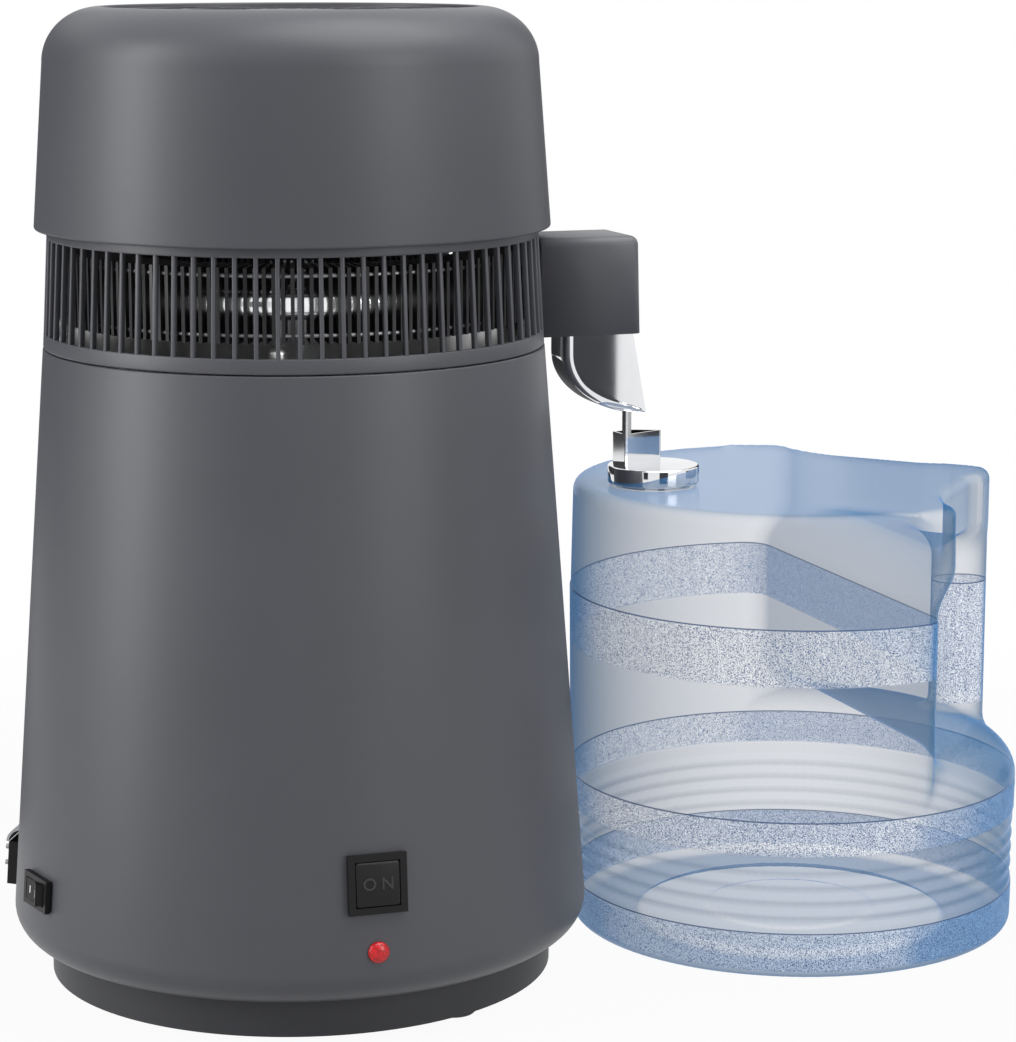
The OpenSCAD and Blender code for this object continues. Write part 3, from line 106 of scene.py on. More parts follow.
# %% Shader maths
class Wire:
    """One socket of a node tree."""

    def __init__(self, tree, socket=None):
        self.tree, self.socket = tree, socket

    def node(self, kind, settings=None, out=0, **sockets):
        """Adds a node. Settings come first, then the values or wires of its sockets."""
        made = self.tree.nodes.new("ShaderNode" + kind)
        for name, value in (settings or {}).items():
            setattr(made, name, value)
        for name, value in sockets.items():
            self.feed(made, name, value)
        return Wire(self.tree, made.outputs[out])

    def feed(self, made, name, value):
        """Sets a socket by its name, with _ for a space, or by its number as in s6."""
        if name[0] == "s" and name[1:].isdigit():
            socket = made.inputs[int(name[1:])]
        else:
            socket = made.inputs[name.replace("_", " ")]
        if isinstance(value, Wire):
            self.tree.links.new(value.socket, socket)
        else:
            socket.default_value = value

    def blend(self, a, b):
        """A colour that goes from a to b as this value goes from 0 to 1."""
        return self.node("Mix", {"data_type": "RGBA"}, 2, s0=self, s6=a, s7=b)

    def rise(self, low, high):
        """A soft step: 0 below low and 1 above high."""
        return self.node(
            "MapRange", {"interpolation_type": "SMOOTHSTEP"},
            Value=self, From_Min=low, From_Max=high,
        )

    def length(self):
        """The length of a vector."""
        return self.node("VectorMath", {"operation": "LENGTH"}, 1, s0=self)

    def sum_of(self, word, a, b):
        """The node that adds or multiplies two values, colours or vectors."""
        kinds = {w.socket.type for w in (a, b) if isinstance(w, Wire)}
        if "RGBA" in kinds:
            settings = {"data_type": "RGBA", "blend_type": word}
            return self.node("Mix", settings, 2, s0=1.0, s6=a, s7=b)
        kind = "VectorMath" if "VECTOR" in kinds else "Math"
        return self.node(kind, {"operation": word}, s0=a, s1=b)

    def __add__(self, other): return self.sum_of("ADD", self, other)
    def __radd__(self, other): return self.sum_of("ADD", other, self)
    def __sub__(self, other): return self.sum_of("SUBTRACT", self, other)
    def __rsub__(self, other): return self.sum_of("SUBTRACT", other, self)
    def __mul__(self, other): return self.sum_of("MULTIPLY", self, other)
    def __rmul__(self, other): return self.sum_of("MULTIPLY", other, self)
    def __pow__(self, other): return self.sum_of("POWER", self, other)

# %% Materials with one main shader
OBJECT_PLACE = 3
finishes = {}

def start_finish(name, **fixed):
    """A new material; fixed values go straight on the shader's own sockets."""
    material = bpy.data.materials.new(name)
    material.use_nodes = True
    shader = material.node_tree.nodes["Principled BSDF"]
    wire = Wire(material.node_tree)
    for socket, value in fixed.items():
        wire.feed(shader, socket, value)
    finishes[name] = material
    return wire, shader

def shade(colour, by=1.0):
    """A colour made darker or paler, with the fourth number that sockets want."""
    return tuple(c * by for c in colour) + (1,)

def grain(wire, scale, detail=3.0, stretch=(1, 1, 1)):
    """Noise fixed to the part, about 1/scale metres from one lump to the next."""
    place = wire.node("TexCoord", out=OBJECT_PLACE)
    if stretch != (1, 1, 1):
        place = wire.node("Mapping", Vector=place, Scale=stretch)
    return wire.node("TexNoise", Vector=place, Scale=scale, Detail=detail)

def relief(wire, height, depth):
    """A bump of that depth in metres."""
    return wire.node("Bump", Height=height, Distance=depth)

# %% [markdown]
# ## Grey moulded plastic
# The boiler and its head are moulded in a satin cool grey. The tool has a fine spark texture, so a
# highlight spreads and breaks up a little. Fine noise drives the bump and the roughness, and a
# second, slow noise makes the colour cloudy by a few per cent, as in every real moulding.

# %% Grey moulded plastic
CLOUD_SCALE = 14.0

def moulded(name, colour, rough, speck=1900.0, depth=0.00003, cloud=0.05, gloss=0.4):
    wire, shader = start_finish(name, Specular_IOR_Level=gloss)
    fine, slow = grain(wire, speck, 2.0), grain(wire, CLOUD_SCALE)
    cloudy = (0.75 * slow + 0.25 * fine).rise(0.3, 0.7)
    dark, pale = shade(colour, 1 - cloud), shade(colour, 1 + cloud)
    wire.feed(shader, "Base_Color", cloudy.blend(dark, pale))
    wire.feed(shader, "Roughness", rough - 0.06 + 0.12 * fine)
    wire.feed(shader, "Normal", relief(wire, fine, depth))

moulded("grey_case", (0.068, 0.070, 0.080), 0.43)
# Painted light: the arm wears a paler copy of the casing grey, so it looks as lit as the casing.
moulded("grey_arm_lit", (0.108, 0.110, 0.123), 0.43)
# Painted shade: the base plate is a darker copy of the casing grey, for the shade under the foot.
moulded("grey_plinth_shaded", (0.034, 0.035, 0.040), 0.5, gloss=0.3)
# Painted shade: the condenser fins are the casing grey made far darker, for the shade inside the
# head.
moulded("grey_fin_shaded", (0.022, 0.022, 0.025), 0.45)
moulded("flag_card", (0.13, 0.13, 0.135), 0.7)
moulded("grey_guard", (0.42, 0.43, 0.45), 0.4)
moulded(
    "black_switch", (0.0085, 0.0085, 0.0092), 0.42,
    speck=1500.0, depth=0.00004, cloud=0.12, gloss=0.2,
)
moulded("black_frame", (0.006, 0.006, 0.007), 0.36, speck=1300.0, cloud=0.12, gloss=0.2)
moulded("black_inside", (0.022, 0.022, 0.024), 0.5, speck=1200.0, depth=0.00004, cloud=0.15)
moulded("rubber_foot", (0.014, 0.014, 0.014), 0.72, speck=2600.0, depth=0.00008, cloud=0.2)
moulded("white_print", (0.72, 0.72, 0.7), 0.5, speck=3000.0, depth=0.00001, cloud=0.03)
moulded("seal_rubber", (0.62, 0.59, 0.53), 0.55, speck=1800.0, depth=0.00004)
print("plastics:", sorted(finishes))

# %% [markdown]
# ## Metals
# Chrome is close to a mirror, and what shows on it is the room. A faint smear in its roughness
# keeps it from looking like a drawing. Drawn steel has fine lines along one way, so its noise is
# stretched, and cast metal has a coarse skin.

# %% Metals
def metal(name, colour, rough, smear, scale, stretch=(1, 1, 1), depth=0.0, cloud=0.06):
    wire, shader = start_finish(name, Metallic=1.0)
    marks = grain(wire, scale, 4.0, stretch)
    worn = marks.rise(0.35, 0.65)
    wire.feed(shader, "Base_Color", worn.blend(shade(colour, 1 - cloud), shade(colour)))
    wire.feed(shader, "Roughness", rough + smear * (marks - 0.4))
    if depth:
        wire.feed(shader, "Normal", relief(wire, marks, depth))

metal("chrome", (0.83, 0.84, 0.86), 0.05, 0.06, 60.0)
metal("polished_tube", (0.92, 0.93, 0.94), 0.18, 0.12, 180.0)
metal("pot_steel", (0.62, 0.62, 0.63), 0.27, 0.3, 30.0, stretch=(1, 1, 60), depth=0.00002)
# Painted shade: the lid and the heater clamp wear a darker copy of the pot's steel, for the dark
# inside of the head.
metal("lid_steel_shaded", (0.40, 0.40, 0.41), 0.3, 0.3, 900.0, depth=0.00001)
metal("zinc_screw", (0.60, 0.60, 0.60), 0.32, 0.3, 700.0, depth=0.00003)
metal("cast_plate", (0.46, 0.46, 0.47), 0.5, 0.3, 420.0, depth=0.0002)
metal("element_sheath", (0.20, 0.19, 0.18), 0.45, 0.3, 500.0, depth=0.00006, cloud=0.3)
metal("motor_case", (0.30, 0.30, 0.31), 0.4, 0.3, 600.0, stretch=(1, 1, 8), depth=0.00004)
print("metals ready, finishes so far:", len(finishes))

# %% [markdown]
# ## Red lamp
# The pilot lamp is a small dome of red polycarbonate. Its inside is faceted to spread the light,
# which shows as a fine cell pattern under a clear gloss, so cells change its colour and a coat
# gives the gloss.

# %% Red lamp
LENS_RED, LENS_DARK = (0.72, 0.012, 0.016, 1), (0.42, 0.004, 0.007, 1)

wire, shader = start_finish(
    "red_lens", Coat_Weight=0.35, Coat_Roughness=0.12, Specular_IOR_Level=0.3,
)
cells = wire.node("TexVoronoi", Vector=wire.node("TexCoord", out=OBJECT_PLACE), Scale=900.0)
wire.feed(shader, "Base_Color", cells.rise(0.1, 0.8).blend(LENS_RED, LENS_DARK))
wire.feed(shader, "Roughness", 0.25 + 0.1 * cells)
print("red lens ready")

# %% [markdown]
# ## Blue jug plastic
# The jug is blown from clear blue plastic with a thin wall. A thin wall hardly bends light, it only
# tints it, and it looks deeper where one looks along it: pale in the middle of a face, deep blue at
# every edge and step. So the wall is a film that lets part of the light through, and Layer Weight
# closes it towards the edges. The plastic is a little milky and scatters the light of the room
# behind it. One film can't do that, so it has a low glow of its own tint instead. Pebbled bands run
# around the jug. There cells bump the film and close it more, and the colour there holds painted
# light: white specks are a painted highlight, and dark blue in the creases is painted shade.

# %% Where the bands run
BANDS = ((3.2, 18.7), (50.8, 64.4), (119.3, 142.0))
HANDLE_BAND = (87.0, 139.0)
HANDLE_X = 76.6
GROOVE_LOW, GROOVE_PITCH, GROOVE_COUNT = 20.6, 6.2, 4

wire, shader = start_finish("blue_jug", IOR=1.46, Specular_IOR_Level=0.12, Emission_Strength=0.5)
place = wire.node("TexCoord", out=OBJECT_PLACE)
across, aside, height = [1000 * wire.node("SeparateXYZ", out=k, Vector=place) for k in range(3)]
across = across - JUG_X
from_axis = wire.node("CombineXYZ", X=across, Y=aside).length()
on_handle = 1 - wire.node("CombineXYZ", X=across - HANDLE_X, Y=aside).length().rise(14, 16)

def band(low, high):
    """1 between two heights, with a soft lower edge and a crisp upper one."""
    return height.rise(low - 0.5, low + 0.5) * (1 - height.rise(high - 0.3, high + 0.1))

def line(at, half):
    """A thin line around the jug, strongest at one height."""
    return height.rise(at - half, at) * (1 - height.rise(at, at + half))

def rim(top, half=0.5):
    """The dark line just above a band."""
    return line(top + 0.2, half)

low_band, waist_band, high_band = BANDS
on_wall = band(*low_band) * from_axis.rise(70.0, 75.0) + band(*waist_band)
pebbled = on_wall + (1 - on_handle) * band(*high_band) + on_handle * band(*HANDLE_BAND)
edges = (1 - on_handle) * rim(high_band[1]) + on_handle * rim(HANDLE_BAND[1])
edges = edges + rim(waist_band[1], 0.55) + rim(low_band[1])
grooves = sum(line(GROOVE_LOW + GROOVE_PITCH * (k + 0.5), 1.1) for k in range(GROOVE_COUNT))

# %% Blue jug plastic
FILM_PALE, FILM_DEEP = (0.20, 0.24, 0.31, 1), (0.003, 0.08, 0.18, 1)
FILM_EDGE = (0.04, 0.17, 0.42, 1)
# Painted highlight and painted shade of the pebbling: white specks and dark blue creases.
SPECK_HIGHLIGHT, SPECK_BLUE = (0.84, 0.88, 0.93, 1), (0.10, 0.27, 0.53, 1)
CREASE_SHADE, RIM_BLUE = (0.01, 0.06, 0.18, 1), (0.015, 0.05, 0.14, 1)
SHADOW_TINT = (0.86, 0.91, 0.95, 1)

wrinkle = grain(wire, 1700.0, 1.5) - 0.5
creases = 1 - (wrinkle * wrinkle).rise(0.0004, 0.004)
flow = grain(wire, 55.0, 1.0)
facing = wire.node("LayerWeight", out=1, Blend=0.5)
edge_on = facing ** 6
top_face = height.rise(184.0, 186.6)
floor_face = (1 - from_axis.rise(63.0, 66.0)) * (1 - height.rise(5.0, 7.0))
film = (0.20 + 0.60 * facing + 0.12 * edge_on) * (1 - 0.12 * top_face - 0.4 * floor_face)
frost = pebbled * (0.3 + 0.58 * creases) * (1 - film)
lines = (0.95 * edges + 0.10 * grooves) * (1 - film - frost)
# The painted speck highlight turns blue at grazing angles, in the lowest band and on the handle
# half.
bluer = facing.rise(0.3, 0.85) + (0.5 - 0.5 * height.rise(18.0, 20.0))
bluer = bluer + 0.6 * across.rise(4.0, 24.0) * (1 - on_handle)
speck = bluer.rise(0.0, 1.0).blend(SPECK_HIGHLIGHT, SPECK_BLUE)
tint = edge_on.blend(facing.rise(0.0, 0.75).blend(FILM_PALE, FILM_DEEP), FILM_EDGE)
tint = pebbled.blend(tint, creases.blend(speck, CREASE_SHADE))
tint = edges.blend(tint, RIM_BLUE)

# %% Wire up the jug plastic
wire.feed(shader, "Base_Color", tint)
wire.feed(shader, "Emission_Color", tint)
wire.feed(shader, "Alpha", film + frost + lines)
wire.feed(shader, "Roughness", 0.26 + 0.15 * pebbled + 0.4 * floor_face)
wire.feed(shader, "Normal", relief(wire, 0.06 * flow - pebbled * creases, 0.0002))
shadow_ray = wire.node("LightPath", out=1)
clear = wire.node("BsdfTransparent", Color=SHADOW_TINT)
mixed = wire.node("MixShader", s0=shadow_ray, s1=Wire(wire.tree, shader.outputs[0]), s2=clear)
wire.feed(wire.tree.nodes["Material Output"], "Surface", mixed)
print("jug plastic: bands at", BANDS, "handle", HANDLE_BAND)

# %% [markdown]
# ## Finishes of the solid parts
# Every part of the solid model gets one of these finishes, also the hidden ones, because the head
# lifts off and shows the pot, the lid and what lies under it.

# %% Finishes of the solid parts
wears = {
    "grey_case": "outer_casing vent_ring top_cover top_grille",
    "grey_arm_lit": "arm_cover",
    "grey_plinth_shaded": "base_plate",
    "grey_guard": "inlet_guard",
    "black_switch": "start_button rocker",
    "black_frame": "button_housing rocker_housing inlet_block fan_socket lamp_holder",
    "black_inside": "fan motor_bracket thermostats",
    "rubber_foot": "rubber_feet",
    "seal_rubber": "lid_seal",
    "chrome": "spout jug_cap drip_guide",
    "polished_tube": "condenser_tube",
    "pot_steel": "boiling_pot",
    "lid_steel_shaded": "chamber_lid heater_clamp",
    "zinc_screw": "base_screws heater_stud heater_nut lid_nuts motor_screws fan_shaft fan_nut",
    "cast_plate": "heater_plate",
    "element_sheath": "heating_element",
    "motor_case": "fan_motor fin_wires inlet_pins",
    "grey_fin_shaded": "condenser_fins",
    "red_lens": "lamp_lens",
    "blue_jug": "jug",
}
for finish, names in wears.items():
    for name in names.split():
        nodes[name].data.materials.clear()
        nodes[name].data.materials.append(finishes[finish])
print("dressed", sum(len(names.split()) for names in wears.values()), "of", len(nodes), "parts")

# %% [markdown]
# ## Tools for making parts
# Most parts here are turned, so their half outline is drawn once and spun. Corners of an outline
# get a radius, because no moulding has a knife edge and the small radius is what catches light.
# Shapes are kept as points and faces in millimetres, so several can be joined before they become
# one Blender object.

# %% Outlines with soft corners
MOST_OF_SIDE = 0.48

def soften(corners, steps=5):
    """Swaps each corner (x, y, radius) of a closed outline for an arc."""
    points = []
    for i, (x, y, radius) in enumerate(corners):
        if radius <= 0:
            points.append((x, y))
            continue
        here = Vector((x, y))
        back = Vector(corners[i - 1][:2]) - here
        ahead = Vector(corners[(i + 1) % len(corners)][:2]) - here
        opening = back.angle(ahead)
        most = MOST_OF_SIDE * back.length, MOST_OF_SIDE * ahead.length
        reach = min(radius / math.tan(opening / 2), *most)
        back, ahead = back.normalized(), ahead.normalized()
        middle = here + (back + ahead).normalized() * (reach / math.cos(opening / 2))
        first, last = here + back * reach - middle, here + ahead * reach - middle
        sweep = first.angle(last)
        for k in range(steps + 1):
            t = k / steps
            arm = (first * math.sin((1 - t) * sweep) + last * math.sin(t * sweep)) / math.sin(sweep)
            points.append(tuple(middle + arm))
    return points

def quarter(centre, across, up, first, last, steps=20):
    """Points on an arc of an ellipse, angles in degrees."""
    angles = np.radians(np.linspace(first, last, steps + 1))
    return [(centre[0] + across * math.cos(a), centre[1] + up * math.sin(a)) for a in angles]

def rod(radius, low, high):
    """Half outline of a plain round bar."""
    return [(0.0, low), (radius, low), (radius, high), (0.0, high)]

# %% Turned shapes
def turned(outline, centre=(0.0, 0.0), count=192):
    """Spins a closed outline of (radius, height) about an upright axis."""
    ring = np.array(outline)
    turn = np.linspace(0, 2 * math.pi, count, endpoint=False)
    points = np.empty((count, len(ring), 3))
    points[:, :, 0] = centre[0] + np.outer(np.cos(turn), ring[:, 0])
    points[:, :, 1] = centre[1] + np.outer(np.sin(turn), ring[:, 0])
    points[:, :, 2] = ring[:, 1]
    place = np.arange(count * len(ring)).reshape(count, len(ring))
    after, up = np.roll(place, -1, 0), np.roll(place, -1, 1)
    faces = np.stack([place, after, np.roll(after, -1, 1), up], -1).reshape(-1, 4)
    return points.reshape(-1, 3), faces.tolist()

def part_turned(outline, centre, first, last, steps):
    """Spins a closed outline through part of a turn, in degrees, and closes both ends."""
    count = len(outline)
    points = np.array([
        (centre[0] + r * math.cos(t), centre[1] + r * math.sin(t), z)
        for t in np.radians(np.linspace(first, last, steps + 1)) for r, z in outline
    ])
    faces = []
    for i in range(steps):
        for k in range(count):
            a, b = count * i + k, count * i + (k + 1) % count
            faces.append([a, b, b + count, a + count])
    faces += [list(range(count))[::-1], [count * steps + k for k in range(count)]]
    return points, faces

# %% Blocks, moves and joins
def shape_of(bm):
    """The points and faces of a bmesh, which is freed."""
    bm.verts.index_update()
    points = np.array([v.co[:] for v in bm.verts])
    faces = [[v.index for v in f.verts] for f in bm.faces]
    bm.free()
    return points, faces

def block(low, high, edge=0.3, steps=2):
    """A box between two corners with rounded edges."""
    bm = bmesh.new()
    bmesh.ops.create_cube(bm, size=1.0)
    low, high = Vector(low), Vector(high)
    for v in bm.verts:
        v.co = [low[k] if v.co[k] < 0 else high[k] for k in range(3)]
    if edge:
        rounded = {"offset": edge, "segments": steps, "affect": "EDGES", "profile": 0.5}
        bmesh.ops.bevel(bm, geom=bm.edges[:], **rounded)
    return shape_of(bm)

def moved(shape, matrix):
    """A shape after a move and a turn."""
    points, faces = shape
    m = np.array(matrix)
    return points @ m[:3, :3].T + m[:3, 3], faces

def joined(shapes):
    """Several shapes as one."""
    points, faces, count = [], [], 0
    for p, f in shapes:
        points.append(p)
        faces += [[i + count for i in face] for face in f]
        count += len(p)
    return np.concatenate(points), faces

AT_BOILER = Matrix.Translation((BOILER_X, 0, 0))

# %% Put a shape into the scene
def clean_mesh(name, shape):
    """A mesh of a shape in millimetres, its double points joined and its faces turned outward."""
    points, faces = shape
    mesh = bpy.data.meshes.new(name)
    mesh.from_pydata((np.asarray(points) * MM).tolist(), [], faces)
    bm = bmesh.new()
    bm.from_mesh(mesh)
    bmesh.ops.remove_doubles(bm, verts=bm.verts[:], dist=1e-6)
    bmesh.ops.recalc_face_normals(bm, faces=bm.faces[:])
    bm.to_mesh(mesh)
    bm.free()
    return mesh

def place_mesh(name, mesh, finish, body, slot, replaces=(), sharp=40.0):
    """Makes one object of a mesh, gives it its finish and lets it ride on its body."""
    mesh.materials.clear()
    mesh.shade_smooth()
    mesh.set_sharp_from_angle(angle=math.radians(sharp))
    piece = put(name, mesh)
    mesh.materials.append(finishes[finish])
    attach(piece, body)
    if replaces:
        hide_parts(*replaces)
    print(name, len(mesh.vertices), "points")
    return piece

def add_piece(name, shape, *where, **more):
    """The same for a shape in millimetres."""
    return place_mesh(name, clean_mesh(name, shape), *where, **more)

# %% Cuts and unions
def boolean(mesh, shape, word):
    """The mesh after a cut or a union with a shape."""
    base, tool = put("base", mesh), put("tool", clean_mesh("tool", shape))
    step = base.modifiers.new("step", "BOOLEAN")
    step.operation, step.object, step.solver = word, tool, "MANIFOLD"
    bpy.context.view_layer.update()
    done = base.evaluated_get(bpy.context.evaluated_depsgraph_get())
    result = bpy.data.meshes.new_from_object(done)
    for made in (base, tool):
        bpy.data.objects.remove(made)
    return result

# %% [markdown]
# ## Boiler casing
# The casing is one tall cone with a rounded foot. On the real one it is a single moulding, so it is
# spun in one go, with a fine radius at its top edge where it meets the head.

# %% Boiler casing
BOILER = (BOILER_X, 0.0)
CASING_R, CASING_TOP_R = 113.8, 97.4
ROUND_Z, SEAT_Z = 32.5, 252.0
FOOT_Z, FOOT_HOLE_R, CASING_WALL = 19.0, 87.3, 2.4
STEP_R, STEP_DEEP, SLACK = 96.2, 1.2, 0.05
LEAN = math.atan((CASING_R - CASING_TOP_R) / (SEAT_Z - ROUND_Z))

def casing_r(z):
    """Radius of the cone at a height."""
    return CASING_R - (z - ROUND_Z) * math.tan(LEAN)

in_z = FOOT_Z + CASING_WALL
casing = soften([
    (FOOT_HOLE_R, FOOT_Z, 0), (casing_r(FOOT_Z) - SLACK, FOOT_Z, 13.5),
    (CASING_TOP_R - SLACK, SEAT_Z, 0.9), (STEP_R, SEAT_Z, 0),
    (STEP_R, SEAT_Z - STEP_DEEP, 0), (CASING_TOP_R - CASING_WALL, SEAT_Z - STEP_DEEP, 0),
    (casing_r(in_z) - CASING_WALL - SLACK, in_z, 11.0), (FOOT_HOLE_R, in_z, 0),
], 12)
mesh = clean_mesh("casing_shell", turned(casing, BOILER, 256))
print("casing leans", round(math.degrees(LEAN), 2), "degrees")

# %% [markdown]
# ## Openings of the casing
# The button, the switch, the lamp and the power inlet reach through the wall, and the button moves
# in it. So each gets a real window, cut with a Boolean square to the leaning wall.

# %% Openings of the casing
BUTTON_AT, LAMP_AT = (-91.0, 65.6), (-91.0, 39.7)
ROCKER_AT, INLET_AT = (-168.0, 48.0), (152.0, 40.0)
CUT_IN, CUT_OUT = -8.0, 5.0
LAMP_HOLE_R = 3.5

def on_casing(turn, z):
    """A place on the leaning wall: X points outward, Y sideways and Z up."""
    return (
        AT_BOILER @ Matrix.Rotation(math.radians(turn), 4, "Z")
        @ Matrix.Translation((casing_r(z), 0, z)) @ Matrix.Rotation(-LEAN, 4, "Y")
    )

OUTWARD = Matrix.Rotation(math.radians(90), 4, "Y")
for spot, wide, high in ((BUTTON_AT, 20.0, 20.0), (ROCKER_AT, 19.4, 11.2), (INLET_AT, 22.4, 16.0)):
    window = block((CUT_IN, -wide / 2, -high / 2), (CUT_OUT, wide / 2, high / 2), 0)
    mesh = boolean(mesh, moved(window, on_casing(*spot)), "DIFFERENCE")
lamp_hole = turned(rod(LAMP_HOLE_R, CUT_IN, CUT_OUT), count=48)
mesh = boolean(mesh, moved(lamp_hole, on_casing(*LAMP_AT) @ OUTWARD), "DIFFERENCE")
place_mesh("casing_shell", mesh, "grey_case", "boiler", "grey_plastic", ["outer_casing"])

# %% [markdown]
# ## Top cover
# The cover is a shallow cone with a soft shoulder that rolls into a round recess. The grille lies
# in the recess. The shoulder is a quarter of an ellipse, a little wider than high.

# %% Top cover
COVER_Z, COVER_R, COVER_WALL = 298.0, 99.7, 2.2
SHOULDER, SHOULDER_WIDE, SHOULDER_HIGH = (72.6, 361.0), 22.5, 21.0
RECESS_R, RECESS_Z, LEDGE_R, LEDGE_WALL = 72.2, 378.0, 68.2, 2.4
HEM_R, HEM_LOW, HEM_HIGH = 90.5, 299.4, 302.4

cover = (
    soften([
        (COVER_R - COVER_WALL, COVER_Z, 0.4), (COVER_R, COVER_Z, 1.1), (99.55, 300.0, 0),
    ], 4)[:-1]
    + quarter(SHOULDER, SHOULDER_WIDE, SHOULDER_HIGH, 0, 86, 28)
    + quarter((RECESS_R + 0.8, 381.2), 0.8, 0.8, 80, 180, 5)
    + [(RECESS_R, RECESS_Z), (LEDGE_R, RECESS_Z), (LEDGE_R, RECESS_Z - LEDGE_WALL)]
    + [(RECESS_R + COVER_WALL, RECESS_Z - LEDGE_WALL), (RECESS_R + COVER_WALL, 379.6)]
    + quarter(SHOULDER, SHOULDER_WIDE - COVER_WALL, SHOULDER_HIGH - COVER_WALL, 75, 0)
    + [(97.0, HEM_HIGH), (HEM_R, HEM_HIGH), (HEM_R, HEM_LOW), (97.3, HEM_LOW)]
)
cover = turned(cover, BOILER, 256)
add_piece("cover_shell", cover, "grey_case", "head", "grey_plastic", ["top_cover"])

# %% [markdown]
# ## Vent ring
# Warm air leaves the head between upright bars, 76 to the full turn. Each bar is a small rounded
# post set between two bands. Behind the arm the ring is closed by a plain panel. The posts are real
# blocks with soft edges, because light on those edges is what makes the grid read as a grid.

# %% Bands of the vent ring
VENT_LOW, VENT_HIGH, VENT_R, VENT_IN = 252.4, 299.4, 97.2, 2.5
VENT_WALL, SHELF_R, SHELF = 2.2, 84.2, 2.0
GAP_LOW, GAP_HIGH = 258.2, 294.4

def vent_r(z, inset=0.0):
    """Radius of the tapered ring at a height."""
    return VENT_R - (z - VENT_LOW) * VENT_IN / (VENT_HIGH - VENT_LOW) - inset

shelf_top, shelf_low = VENT_LOW + SHELF, VENT_HIGH - SHELF
lower = soften([
    (SHELF_R, VENT_LOW, 0), (VENT_R, VENT_LOW, 0.7), (vent_r(GAP_LOW), GAP_LOW, 0.5),
    (vent_r(GAP_LOW, VENT_WALL), GAP_LOW, 0.3), (vent_r(shelf_top, VENT_WALL), shelf_top, 0),
    (SHELF_R, shelf_top, 0),
], 4)
upper = soften([
    (SHELF_R, shelf_low, 0), (vent_r(shelf_low, VENT_WALL), shelf_low, 0),
    (vent_r(GAP_HIGH, VENT_WALL), GAP_HIGH, 0.3), (vent_r(GAP_HIGH), GAP_HIGH, 0.5),
    (vent_r(VENT_HIGH), VENT_HIGH, 0.3), (SHELF_R, VENT_HIGH, 0),
], 4)
shapes = [turned(lower, BOILER), turned(upper, BOILER)]

# %% Bars of the vent ring
BARS, BAR_WIDE, BAR_HALF, BAR_SOFT, BAR_Z = 76, 1.6, 18.6, 0.45, 276.3
ARM_CLEAR, PANEL_HALF, PANEL_IN = 11.0, 14.4, 0.4

bar = block((-VENT_WALL, -BAR_WIDE / 2, -BAR_HALF), (0.0, BAR_WIDE / 2, BAR_HALF), BAR_SOFT, 3)
bar_lean = Matrix.Rotation(-math.atan(VENT_IN / (VENT_HIGH - VENT_LOW)), 4, "Y")
for i in range(BARS):
    turn = 360.0 * i / BARS
    if min(turn, 360.0 - turn) > ARM_CLEAR:
        spin = AT_BOILER @ Matrix.Rotation(math.radians(turn), 4, "Z")
        shapes.append(moved(bar, spin @ Matrix.Translation((vent_r(BAR_Z), 0, BAR_Z)) @ bar_lean))
print("vent bars:", len(shapes) - 2)
panel_low, panel_high = GAP_LOW - PANEL_IN, GAP_HIGH + PANEL_IN
panel = [(vent_r(z), z) for z in (panel_low, panel_high)]
panel += [(vent_r(z, VENT_WALL), z) for z in (panel_high, panel_low)]
shapes.append(part_turned(panel, BOILER, -PANEL_HALF, PANEL_HALF, 24))
add_piece("vent_ring_shell", joined(shapes), "grey_case", "head", "grey_plastic", ["vent_ring"])

# %% [markdown]
# ## Condenser tube
# Steam rises from the lid into one stainless tube, which runs once around behind the bars and then
# out into the arm. It is polished, and its bright curve between the bars is a mark of such
# machines. The solid model's tube has flat facets, so it is swept again along the same path with
# many more sides.

# %% Condenser tube
COIL_R, COIL_BEND, COIL_Z = 80.0, 14.0, 276.3
TUBE_START, TUBE_END, DROP_X = 254.4, 232.4, 127.0
LEG_TURN, TUBE_R, TUBE_SIDES, BEND_STEPS = 14.0, 5.8, 28, 14
RIGHT, BACK, UP = Vector((1, 0, 0)), Vector((0, 1, 0)), Vector((0, 0, 1))

def bend(centre, u, v, radius, first, last, steps=BEND_STEPS):
    """Points along a bend in the plane of the directions u and v."""
    return [
        centre + radius * (math.cos(a) * u + math.sin(a) * v)
        for a in np.radians(np.linspace(first, last, steps + 1))
    ]

turn_in = math.degrees(math.asin(COIL_BEND / (COIL_R - COIL_BEND)))
turn_out = math.degrees(math.asin(COIL_BEND / (COIL_R + COIL_BEND)))
leg = Vector((math.cos(math.radians(LEG_TURN)), math.sin(math.radians(LEG_TURN)), 0))
side = Vector((-leg.y, leg.x, 0))
leg_end = (COIL_R - COIL_BEND) * math.cos(math.radians(turn_in))
out_x = (COIL_R + COIL_BEND) * math.cos(math.radians(turn_out))
low_z = COIL_Z - COIL_BEND
path = [TUBE_START * UP]
path += bend(COIL_BEND * leg + low_z * UP, leg, UP, COIL_BEND, 180, 90)
path += bend(leg_end * leg + COIL_BEND * side + COIL_Z * UP, leg, side, COIL_BEND, -90, turn_in)
path += bend(COIL_Z * UP, RIGHT, BACK, COIL_R, LEG_TURN + turn_in + 1, 360 - turn_out - 1, 160)
path += bend(Vector((out_x, -COIL_BEND, COIL_Z)), RIGHT, BACK, COIL_BEND, 180 - turn_out, 90)
path += bend(Vector((DROP_X - COIL_BEND, 0, low_z)), RIGHT, UP, COIL_BEND, 90, 0)
path += [Vector((DROP_X, 0, TUBE_END))]

